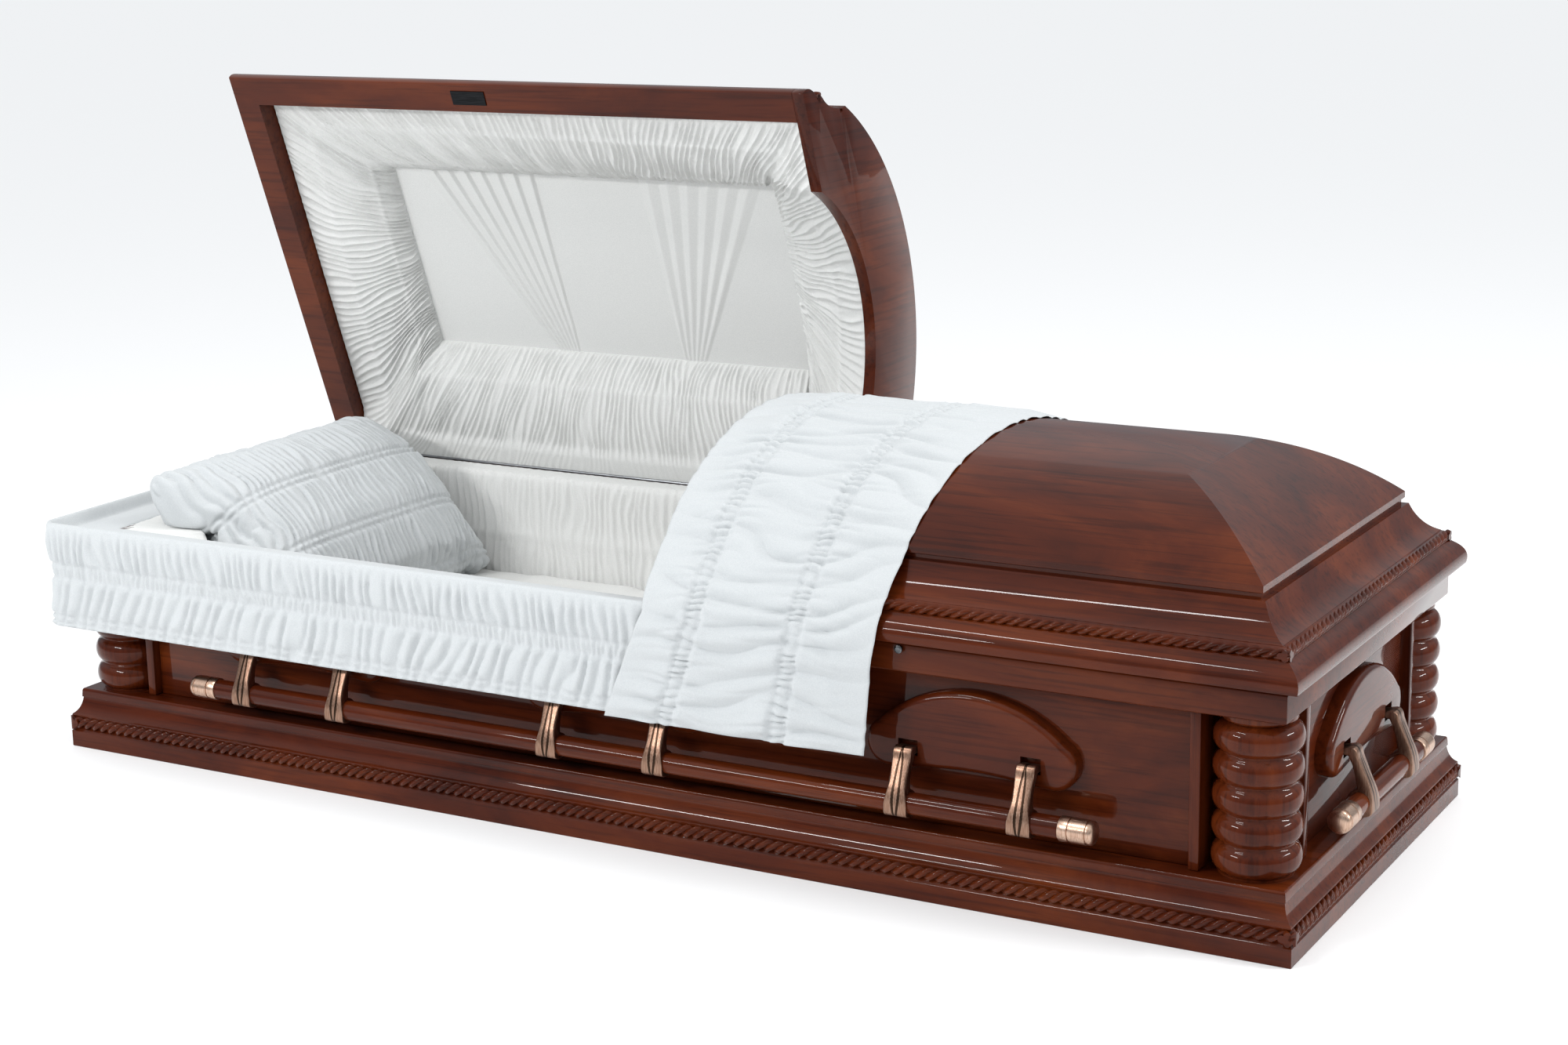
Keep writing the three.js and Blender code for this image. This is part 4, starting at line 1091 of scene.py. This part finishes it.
for wall in WALLS:
    bar_low, bar_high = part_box(f"{wall}_bar")
    half = (bar_high.x if wall in ("front", "back") else bar_high.y) / MM
    body = f"{wall}_handle"
    rod = turned_along_x(f"{wall}_bar_turned", [(-half + CAP_LENGTH - 1, BAR_RADIUS),
                         (half - CAP_LENGTH + 1, BAR_RADIUS)])
    to_wall(rod, wall, 0)
    dress(rod, body, "wood", wood[0] if wall in ("front", "back") else wood[1], replaces=[f"{wall}_bar"])
    for side, label in ((-1, "left"), (1, "right")):
        cap = turned_along_x(f"{wall}_bar_cap_{label}", [(side * x, r) for x, r in cap_profile(half)])
        to_wall(cap, wall, 0)
        dress(cap, body, "copper", copper, angle=40)
print("bars: four, with eight caps")

# %% [markdown]
# The small metalwork is two hinge barrels along the back, a plain black strike plate under the
# rim of the head lid, and a round catch knob on the rail. The frame's own meshes are fine enough
# for pieces of this size, so they are kept and only get their finishes.

# %% Small metalwork
for name in ("head_lid_hinge", "foot_lid_hinge"):
    finish_node(name, grey_steel)
finish_node("strike_plate", black_steel)
finish_node("catch_knob", dark_steel)
print("small metalwork finished")

# %% [markdown]
# The cloth is gathered: rows of stitches draw it together, and between the rows it stands in
# fine soft folds across them. A simulation of cloth this full takes hours, so the folds are
# worked out: each piece starts as a grid laid on its smooth form, and every point then moves
# along the surface's normal by a sum of waves. Wander bends the waves, so that folds fork, lean
# and fade as real ones do.

# %% Gathered cloth


def wander(u, v, size, seed):
    """A smooth random field from -1 to 1 over u and v in mm, with features of about this size."""
    own = np.random.default_rng(seed)
    field = np.zeros_like(u, float)
    for _ in range(7):
        angle, phase = own.uniform(0, 2 * math.pi, 2)
        step = own.uniform(0.6, 1.6) / size
        field += np.sin(2 * math.pi * step * (u * math.cos(angle) + v * math.sin(angle)) + phase)
    return field / 3.2


def folds(s, t, spacing, seed, lean=0.0, sway=0.5, fork=0.16):
    """Long soft folds across s, from 0 to 1, with narrow valleys. s and t are in mm."""
    phase = (s + lean * t) / spacing + sway * wander(s, t * 0.8, 9 * spacing, seed)
    phase = phase + fork * wander(s, t * 0.4, 2.6 * spacing, seed + 1)
    ridge = np.abs(np.cos(math.pi * phase)) ** 0.9
    size = 0.78 + 0.22 * wander(s, t * 0.25, 2.2 * spacing, seed + 2)
    return ridge * size


def stitch_rows(t, rows, width=5.0):
    """1 on a row of stitches and 0 away from it."""
    near = np.zeros_like(t)
    for row in rows:
        near = np.maximum(near, np.exp(-(((t - row) / width) ** 2)))
    return near


def gathered_grid(name, across, down, form, height, closed_ring=False, faces_back=False):
    """A grid on a smooth form, moved along its normal. form takes u and v from 0 to 1 and gives
    points in mm; height takes them too and gives the fold's height in mm. faces_back turns the
    faces round, for a cloth that is seen from the other side. It moves no point."""
    select_nothing()
    bpy.ops.mesh.primitive_grid_add(x_subdivisions=across, y_subdivisions=down, size=1)
    cloth = named(name)
    flat = points_of(cloth)
    u, v = flat[:, 0] + 0.5, flat[:, 1] + 0.5
    step = 1e-3
    middle = form(u, v)
    du = form(u + step, v) - form(u - step, v)
    dv = form(u, v + step) - form(u, v - step)
    normal = np.cross(du, dv)
    normal /= np.maximum(np.linalg.norm(normal, axis=1, keepdims=True), 1e-12)
    points = middle + normal * height(u, v)[:, None]
    set_points(cloth, points * MM)
    if closed_ring:
        edit(cloth)
        bpy.ops.mesh.select_all(action="SELECT")
        bpy.ops.mesh.remove_doubles(threshold=0.02 * MM)
        stop_edit()
    if faces_back:
        edit(cloth)
        bpy.ops.mesh.select_all(action="SELECT")
        bpy.ops.mesh.flip_normals()
        stop_edit()
    return cloth


def along_path(path, v):
    """Points at shares v of a path's length, with the length so far in mm."""
    path = np.array(path, float)
    steps = np.linalg.norm(np.diff(path, axis=0), axis=1)
    run = np.concatenate([[0], np.cumsum(steps)])
    at = np.clip(v, -0.01, 1.01) * run[-1]
    columns = [np.interp(at, run, path[:, k]) for k in range(path.shape[1])]
    for k, column in enumerate(columns):
        first = (path[1, k] - path[0, k]) / max(steps[0], 1e-9)
        last = (path[-1, k] - path[-2, k]) / max(steps[-1], 1e-9)
        column += np.where(at < 0, at * first, 0) + np.where(at > run[-1], (at - run[-1]) * last, 0)
    return np.stack(columns, axis=-1), at


def smooth_path(points, steps=8):
    """A rounder path through the points of a rough one."""
    points = [np.array(p, float) for p in points]
    padded = [2 * points[0] - points[1], *points, 2 * points[-1] - points[-2]]
    result = []
    for a, b, c, d in zip(padded, padded[1:], padded[2:], padded[3:]):
        for i in range(steps):
            t = i / steps
            result.append(0.5 * (2 * b + (c - a) * t + (2 * a - 5 * b + 4 * c - d) * t * t
                                 + (3 * b - a - 3 * c + d) * t ** 3))
    result.append(points[-1])
    return result


print("cloth helpers ready")

# %% [markdown]
# The head lid is lined with crepe: a fat gathered border curls from the rim up to a flat panel,
# and two fans of pleats are sewn on the panel. The border is one closed ring round all four
# sides, so its folds run on through the corners. On the hinge side it starts further out and
# lies flat on the rim before it rises.

# %% Lining of the head lid
RIM, PANEL_Z = 52, lid_foot + 114
header_face = half_x - lid_ends["head_lid"][0] + 0.5
RIM_STARTS = {"front": RIM, "foot": header_face, "back": RIM + 2, "head": RIM}
RIM_ENDS = {"front": RIM + 160, "foot": header_face + 132, "back": RIM + 148, "head": RIM + 158}
FLAP, FLAP_SHARE = 7, 0.24  # the cloth on the hinge side starts further out, flat on the rim
RIM_RUN = {"front": 1060.0, "foot": 640.0, "back": 1060.0, "head": 640.0}
BORDER_RUN, BORDER_DEPTH = sum(RIM_RUN.values()), 190  # mm along the ring and across it


def arch_rise(y):
    """How far the header's arch stands over the lid's foot, at y in mm."""
    radius = ((ARCH_SPAN / 2) ** 2 + ARCH_RISE ** 2) / (2 * ARCH_RISE)
    inside = np.clip(radius ** 2 - y ** 2, 0, None)
    return np.clip(ARCH_RISE - radius + np.sqrt(inside), 0, None)


def lid_border_form(u, v):
    turn = np.clip(v, -0.02, 1.02) * math.pi / 2
    swing = np.sin(turn)
    lift = 1 - np.cos(turn)
    inset = {side: RIM_STARTS[side] + (RIM_ENDS[side] - RIM_STARTS[side]) * swing for side in RIM_RUN}
    turn_back = np.clip((v - FLAP_SHARE) / (1 - FLAP_SHARE), 0, 1.02) * math.pi / 2
    flat = FLAP + (RIM_STARTS["back"] - FLAP) * np.clip(v / FLAP_SHARE, -0.05, 1)
    inset["back"] = flat + (RIM_ENDS["back"] - RIM_STARTS["back"]) * np.sin(turn_back)
    x0, x1 = -half_x + inset["head"], half_x - inset["foot"]
    y0, y1 = -half_y + inset["front"], half_y - inset["back"]
    run = list(RIM_RUN.values())
    s = np.mod(u, 1) * sum(run)
    shares = [np.clip((s - sum(run[:i])) / run[i], 0, 1) for i in range(4)]
    x = x0 + (x1 - x0) * (shares[0] - shares[2])
    y = y0 + (y1 - y0) * (shares[1] - shares[3])
    depth = np.interp(s, [0, run[0], sum(run[:2]), sum(run[:3]), sum(run[:3]) + 0.12 * run[3], sum(run)],
                      [34, 6, -1.2, -1.2, 30, 34])
    on_foot = (shares[1] > 0) & (shares[1] < 1)
    depth = np.where(on_foot, np.maximum(depth, arch_rise(y) + 2), depth)
    rim = lid_foot + depth
    hinge_side = np.interp(s, [0, sum(run[:2]) - 90, sum(run[:2]), sum(run[:3]), sum(run[:3]) + 90,
                               sum(run)], [0, 0, 1, 1, 0, 0])
    lift = lift + (1 - np.cos(turn_back) - lift) * hinge_side
    z = rim + (PANEL_Z - rim) * lift
    return np.stack([x, y, z], axis=-1)


def lid_border_height(u, v):
    s, t = np.mod(u, 1) * BORDER_RUN, v * BORDER_DEPTH
    rows = stitch_rows(t, (44, 128), 4)
    edge = np.clip(np.minimum(v + 0.01, 1 - v) / 0.07, 0, 1)
    hinge_side = (s > 1730) & (s < 2730)
    edge = np.where(hinge_side, np.clip((v - FLAP_SHARE) / 0.06 + 0.1, 0, edge), edge)
    body = 7.5 * folds(s, t, 13.5, 11, lean=0.06, sway=0.6, fork=0.1) + 0.8 * folds(s, t, 7.6, 21)
    fat = np.where(hinge_side, 9, 5) * np.sin(math.pi * v)
    seam = np.clip(np.minimum(s, BORDER_RUN - s) / 12, 0, 1)
    flap = hinge_side & (v < FLAP_SHARE)
    return np.where(flap, 0.14 * body, (body * (1 - 0.5 * rows) + fat - 4) * edge) * seam


lid_border = gathered_grid("head_lid_border", 2000, 44, lid_border_form, lid_border_height,
                           closed_ring=True, faces_back=True)
print("lid border:", len(lid_border.data.polygons), "faces")

FAN_FOOT_LEFT, FAN_FOOT_RIGHT = (486, 562), (745, 562)  # measured from the head end and front
FAN_TOP_LEFT, FAN_TOP_RIGHT = (250, 502), (712, 964)
FAN_TOP = 190


def panel_form(u, v):
    x = -half_x + RIM_ENDS["head"] - 8 + u * (2 * half_x - RIM_ENDS["head"] - RIM_ENDS["foot"] + 16)
    y = -half_y + RIM_ENDS["front"] - 8 + v * (2 * half_y - RIM_ENDS["front"] - RIM_ENDS["back"] + 16)
    z = np.full_like(x, PANEL_Z - 1.0)
    return np.stack([x, y, z], axis=-1)


def fan(x, t, top, foot, pleats, crisp):
    """Pleats that run from a wide top to a narrow foot: a saw-tooth over the fan's own angle."""
    down = np.clip((t - FAN_TOP) / (foot[1] - FAN_TOP), 0, 1)
    left = top[0] + (foot[0] - 22 - top[0]) * down
    right = top[1] + (foot[0] + 22 - top[1]) * down
    share = (x - left) / (right - left)
    tooth = np.mod(share * pleats, 1)
    inside = (share > 0) & (share < 1)
    rise = np.where(tooth < crisp, tooth / crisp, (1 - tooth) / (1 - crisp))
    return np.where(inside, rise, 0) * (0.35 + 0.65 * (1 - down))


def panel_height(u, v):
    points = panel_form(u, v)
    x, t = points[:, 0] + half_x, points[:, 1] + half_y
    left = fan(x, t, FAN_TOP_LEFT, FAN_FOOT_LEFT, 7, 0.92)
    right = fan(x, t, FAN_TOP_RIGHT, FAN_FOOT_RIGHT, 6, 0.5)
    return -(7.5 * left + 6.5 * right + 0.5 * wander(x, t, 180, 5))


lid_panel = gathered_grid("head_lid_panel", 460, 130, panel_form, panel_height, faces_back=True)
for piece in (lid_border, lid_panel):
    open_lid(piece)
    dress(piece, "head_lid", "lining", ivory_crepe, angle=180)
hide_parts("head_lid_lining")
print("lid panel:", len(lid_panel.data.polygons), "faces")

# %% [markdown]
# The body's lining is one gathered ring that climbs the walls, cuts across the corner posts and
# turns out over the rail. Four strips would need seams at the corners. Here the ring's eight
# corners are worked out for every height, and the cloth runs straight between them.

# %% Lining of the body
RING_CORNERS = ((-1, -1), (1, -1), (1, 1), (-1, 1))
WALL_CUT, LIP_CUT = 255, 60
WALL_PATH = smooth_path([(84, 100), (81, 150), (80, 250), (80, 330), (78, 350), (73, 360), (66, 362.3)], 8)
LIP = 40  # the lining turns out over the rail by this much
WALL_SHARE = 0.85  # of the cloth's rows, the part that climbs the wall
BODY_RUN, BODY_DEPTH = 4700, 310  # mm along the ring and across it


def ring_vertices(inset, cut_size, outer, drop):
    """The ring's eight corners, two at each corner post, with their heights' drop."""
    corners = []
    for i, j in RING_CORNERS:
        end_inset = np.where(i < 0, outer, inset)
        on_end = (i * (half_x - end_inset), j * (half_y - cut_size), drop * (i < 0))
        on_side = (i * (half_x - cut_size), j * (half_y - inset), drop * 0)
        corners += [on_end, on_side] if i * j > 0 else [on_side, on_end]
    return corners


def body_lining_form(u, v):
    wall = np.clip(v / WALL_SHARE, -0.01, 1)
    tail = np.clip((v - WALL_SHARE) / (1 - WALL_SHARE), 0, 1.02)
    section, _ = along_path(WALL_PATH, wall)
    inset = section[:, 0] - LIP * tail
    outer = section[:, 0] - (LIP + 20) * tail
    cut_size = WALL_CUT + (LIP_CUT - WALL_CUT) * tail
    corners = ring_vertices(inset, cut_size, outer, 9 * tail ** 3)
    zero = np.zeros(1)
    base = np.array([(x[0], y[0]) for x, y, _ in ring_vertices(zero + 80, zero + WALL_CUT, zero + 80, zero)])
    steps = np.linalg.norm(np.diff(np.vstack([base, base[:1]]), axis=0), axis=1)
    run = np.concatenate([[0], np.cumsum(steps)])
    at = np.mod(u, 1) * run[-1]
    part = np.clip(np.searchsorted(run, at, side="right") - 1, 0, 7)
    share = (at - run[part]) / steps[part]
    table = np.stack([np.stack([np.broadcast_to(value, u.shape) for value in corner], axis=-1)
                      for corner in corners])
    row = np.arange(len(u))
    start, end = table[part, row], table[(part + 1) % 8, row]
    point = start + (end - start) * share[:, None]
    return np.stack([point[:, 0], point[:, 1], section[:, 1] - point[:, 2]], axis=-1)


def body_lining_height(u, v):
    s, t = np.mod(u, 1) * BODY_RUN, v * BODY_DEPTH
    rows = stitch_rows(t, (52, 62, 148, 158), 3.4)
    body = 6.5 * folds(s, t, 14.5, 31, lean=0.03, fork=0.12) + 1.0 * folds(s, t, 8.5, 41)
    on_rail = np.clip((v - WALL_SHARE + 0.06) / 0.06, 0, 1)
    seam = np.clip(np.minimum(s, BODY_RUN - s) / 12, 0, 1)
    return (body * (1 - 0.5 * rows) * (1 - on_rail) + on_rail * 0.16 * body) * seam


body_lining = gathered_grid("body_lining_gathered", 1900, 40, body_lining_form, body_lining_height,
                            closed_ring=True, faces_back=True)
dress(body_lining, "shell", "lining", ivory_crepe, replaces=["body_lining"], angle=180)
print("body lining:", len(body_lining.data.polygons), "faces")

# %% [markdown]
# The mattress is a stuffed pad under a cover. It starts as a merged copy of its node, and a voxel
# remesh gives it even small faces, so that smoothing rounds its edges. Its top then sinks and
# rises by a few millimetres, as a stuffed pad does.

# %% Mattress
mattress_low, mattress_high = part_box("mattress")


def mattress_piece():
    piece = merged_copy("mattress", "mattress_quilted")
    apply_modifier(piece, "REMESH", mode="VOXEL", voxel_size=9 * MM)
    apply_modifier(piece, "SMOOTH", factor=0.5, iterations=6)
    apply_modifier(piece, "DISPLACE", strength=5 * MM, mid_level=0)
    co = points_of(piece)
    top = np.clip((co[:, 2] - mattress_low.z) / (mattress_high.z - mattress_low.z), 0, 1)
    s, t = co[:, 0] / MM, co[:, 1] / MM
    co[:, 2] -= (2.5 + 2.5 * wander(s, t, 90, 51)) * MM * top ** 3
    set_points(piece, co)
    return piece


mattress = mattress_piece()
dress(mattress, "shell", "lining", ivory_crepe, replaces=["mattress"], angle=180)
print("mattress:", len(mattress.data.polygons), "faces")

# %% [markdown]
# The pillow is a filled bag with its cover drawn up in smocked rows. Air pressure in a short
# cloth simulation gives the swelling that a filled bag has, and a cap keeps it near its node.
# The folds would be too fine to simulate, so they are worked out afterwards, along the normals.

# %% Pillow
pillow_low, pillow_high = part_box("pillow")
PILLOW_VOXEL = 5.5  # mm
SWELL_CAP = 16  # mm that a point may move


def swell(piece, pressure, frames, cap):
    """Blows a piece up like a filled bag, and limits how far a point may move, in mm."""
    start = points_of(piece)
    make_active(piece)
    modifier = piece.modifiers.new("cloth", "CLOTH")
    modifier.settings.use_pressure = True
    modifier.settings.uniform_pressure_force = pressure
    modifier.settings.effector_weights.gravity = 0
    for frame_number in range(1, frames + 1):
        bpy.context.scene.frame_set(frame_number)
    bpy.ops.object.modifier_apply(modifier=modifier.name)
    bpy.context.scene.frame_set(1)
    move = points_of(piece) - start
    length = np.linalg.norm(move, axis=1, keepdims=True)
    move *= np.minimum(1, cap * MM / np.maximum(length, 1e-9))
    set_points(piece, start + move)


def keep_inside(piece, low, high):
    """No point goes beyond these two corners."""
    set_points(piece, np.clip(points_of(piece), np.array(low), np.array(high)))


def pillow_piece():
    piece = merged_copy("pillow", "pillow_smocked")
    apply_modifier(piece, "REMESH", mode="VOXEL", voxel_size=PILLOW_VOXEL * MM)
    apply_modifier(piece, "SMOOTH", factor=0.5, iterations=10)
    return piece


def move_along_normals(piece, height):
    """Moves each point along its normal. height takes points in mm and gives mm."""
    co, normal = points_of(piece), points_of(piece, "normal")
    set_points(piece, co + normal * (height(co / MM, normal) * MM)[:, None])


def pillow_height(points, normal):
    s = points[:, 1]
    t = points[:, 0] * 0.72 - points[:, 2] * 0.69 + 1000
    rows = stitch_rows(t, (150, 162, 262, 274, 360, 372), 3.6)
    body = 9.0 * folds(s, t, 13.5, 61, lean=0.08, fork=0.12) + 0.8 * folds(s, t, 8.0, 71)
    return body * (1 - 0.65 * rows) - 2.0


pillow = pillow_piece()
swell(pillow, 4.0, 20, SWELL_CAP)
keep_inside(pillow, pillow_low - Vector((6, 8, 0)) * MM, pillow_high + Vector((10, 8, 8)) * MM)
apply_modifier(pillow, "SUBSURF", levels=1, render_levels=1)
move_along_normals(pillow, pillow_height)
keep_inside(pillow, pillow_low - Vector((9, 12, 0)) * MM, pillow_high + Vector((14, 12, 12)) * MM)
dress(pillow, "shell", "lining", white_crepe, replaces=["pillow"], angle=180)
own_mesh(pillow)
print("pillow:", len(pillow.data.polygons), "faces")

# %% [markdown]
# The apron is a separate overlay. It lies over the rail, swells out at a band of shirring, and
# hangs down the front and round the head corner. Its section is a path in inset and height, and
# the corner is a short curve, so that one grid covers both sides. Solidify gives it two faces.

# %% Apron
APRON_HEM = 211  # height of its lower edge
APRON_PATH = smooth_path([
    (74, 350), (69, 360.8), (60, 362.4), (30, 362.4), (3, 362.6), (-2, 365), (-6, 374), (-11, 381.5),
    (-16, 381), (-19, 372), (-19, 350), (-17, 310), (-15.5, 296), (-17, 280), (-18, 250), (-15, 226),
    (-16, 214), (-17, APRON_HEM)], 6)
APRON_CORNER = 10  # inset of the middle of the corner's curve
APRON_BEND = 45  # length of the curve
APRON_RETURN = 420  # how far the apron goes on round the corner
apron_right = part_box("apron")[1].x / MM + 12
APRON_LENGTH = APRON_RETURN + APRON_BEND + apron_right + half_x - APRON_CORNER


def apron_form(u, v):
    section, _ = along_path(APRON_PATH, 1 - v)
    inset, z = section[:, 0], section[:, 1]
    middle = np.maximum(APRON_CORNER, inset + 1)
    s = u * APRON_LENGTH
    turn = np.clip((s - APRON_RETURN) / APRON_BEND, 0, 1) * math.pi / 2
    front_run = apron_right + half_x - APRON_CORNER
    ahead = np.where(s > APRON_RETURN + APRON_BEND, s - APRON_RETURN - APRON_BEND, 0)
    behind = np.where(s < APRON_RETURN, APRON_RETURN - s, 0)
    ahead = ahead * (1 - (middle - APRON_CORNER) / front_run)
    behind = behind * (1 - (middle - APRON_CORNER) / APRON_RETURN)
    x = middle - half_x - (middle - inset) * np.cos(turn) + ahead
    y = middle - half_y - (middle - inset) * np.sin(turn) + behind
    y = y + 5 * np.clip((x - apron_right + 20) / 15, 0, 1) * (inset < 0)
    return np.stack([x, y, z], axis=-1)


def apron_height(u, v):
    _, t = along_path(APRON_PATH, 1 - v)
    s = u * APRON_LENGTH
    total = along_path(APRON_PATH, np.array([1.0]))[1][0]
    down = t - (total - (381 - APRON_HEM))
    rows = np.maximum(stitch_rows(down, (66, 90), 3.2), stitch_rows(down, (150, 162), 2.6))
    band = np.clip(1.4 - np.abs(down - 78) / 14, 0, 1)
    hem = np.clip((down - 140) / 14, 0, 1)
    above = folds(s, t, 18, 81, lean=-0.05, fork=0.2)
    below = folds(s, t, 25, 86, lean=0.35, fork=0.25)
    mix = np.clip((down - 70) / 16, 0, 1)
    wide = above * (1 - mix) + below * mix
    fine = folds(s, t, 9.5, 91)
    skirt = np.clip((down - 2) / 24, 0, 1)
    body = 10.0 * wide * (1 - 0.8 * band) * (1 - 0.3 * hem) + (0.3 + 5.0 * band + 1.6 * hem) * fine
    body = body * (1 - 0.55 * rows) + 2.5 * np.sin(math.pi * np.clip(down / 66, 0, 1))
    under_throw = 0.35 + 0.65 * np.clip((APRON_LENGTH - s) / 60, 0, 1)
    out = body * under_throw - 7.0 + 4.0 * np.clip((down - 120) / 30, 0, 1)
    return skirt * out + (1 - skirt) * (0.5 * fine - 0.2)


apron = gathered_grid("apron_gathered", 640, 72, apron_form, apron_height)
apply_modifier(apron, "SOLIDIFY", thickness=0.8 * MM, offset=0)
dress(apron, "shell", "lining", white_crepe, replaces=["apron"], angle=180)
print("apron:", len(apron.data.polygons), "faces")

# %% [markdown]
# The throw is a narrow length of crepe that lies over the crown of the foot lid and hangs before
# the front. It could be draped by a simulation, but the folds of gathered cloth come out better
# when they are worked out, and its line is known from the crown's own arc. Two rows of shirring
# gather it, with fine folds at each row.

# %% Throw
THROW_HEM = 206  # height of its lower edge
THROW_LIFT = 5  # how far it lies over the crown
THROW_WIDTH = 372


def throw_path():
    back = [(2 * half_y - inset, z) for inset, z in crown_arc(116, CROWN_RADIUS + THROW_LIFT, 20)]
    front = list(reversed(crown_arc(CROWN_INSET, CROWN_RADIUS + THROW_LIFT, 24)))[1:]
    hang = [(CROWN_INSET - 7, CROWN_EDGE - 4), (40, lid_foot + 84), (10, lid_foot + 52), (-10, lid_foot + 20),
            (-19, lid_foot - 6), (-22, lid_foot - 40), (-22.5, 280), (-22.5, THROW_HEM)]
    return back + front + smooth_path(hang, 6)


THROW_LINE = throw_path()


def throw_form(u, v):
    section, _ = along_path(THROW_LINE, 1 - v)
    inset, z = section[:, 0], section[:, 1]
    below = np.clip((lid_foot - z) / (lid_foot - THROW_HEM), 0, 1)
    over = np.clip((inset + 21) / (2 * half_y), 0, 1)
    left = 84 - 66 * below
    right = 83 + THROW_WIDTH + 66 * over - 14 * below
    return np.stack([left + u * (right - left), inset - half_y, z], axis=-1)


SHIRRING = (88, 250)  # mm from the left hem


def throw_height(u, v):
    _, t = along_path(THROW_LINE, 1 - v)
    w = u * THROW_WIDTH
    lines = [row + side for row in SHIRRING for side in (-10, 10)]
    rows = stitch_rows(w, lines, 3.6)
    band = np.maximum.reduce([np.clip(1.5 - np.abs(w - row) / 12, 0, 1) for row in SHIRRING])
    wide = folds(t, w, 44, 101, lean=0.05, sway=0.7, fork=0.35)
    middle = folds(t, w, 23, 111, sway=0.6, fork=0.3)
    fine = folds(t, w, 11.5, 121)
    near = np.exp(-np.minimum(np.abs(w - SHIRRING[0]), np.abs(w - SHIRRING[1])) / 30)
    body = 10.5 * wide + (1.0 + 8.0 * near) * middle
    body = body * (0.3 + 0.7 * np.clip(np.minimum(w, THROW_WIDTH - w) / 55, 0, 1))
    offset = 1.5 + 3.0 * np.clip(w / 40, 0, 1)
    return body * (1 - 0.75 * band) + 8.0 * band * fine - 3.4 * rows - offset


throw = gathered_grid("throw_shirred", 100, 430, throw_form, throw_height)
apply_modifier(throw, "SOLIDIFY", thickness=0.8 * MM, offset=0)
dress(throw, "foot_lid", "lining", white_crepe, replaces=["throw"], angle=180)
print("throw:", len(throw.data.polygons), "faces")
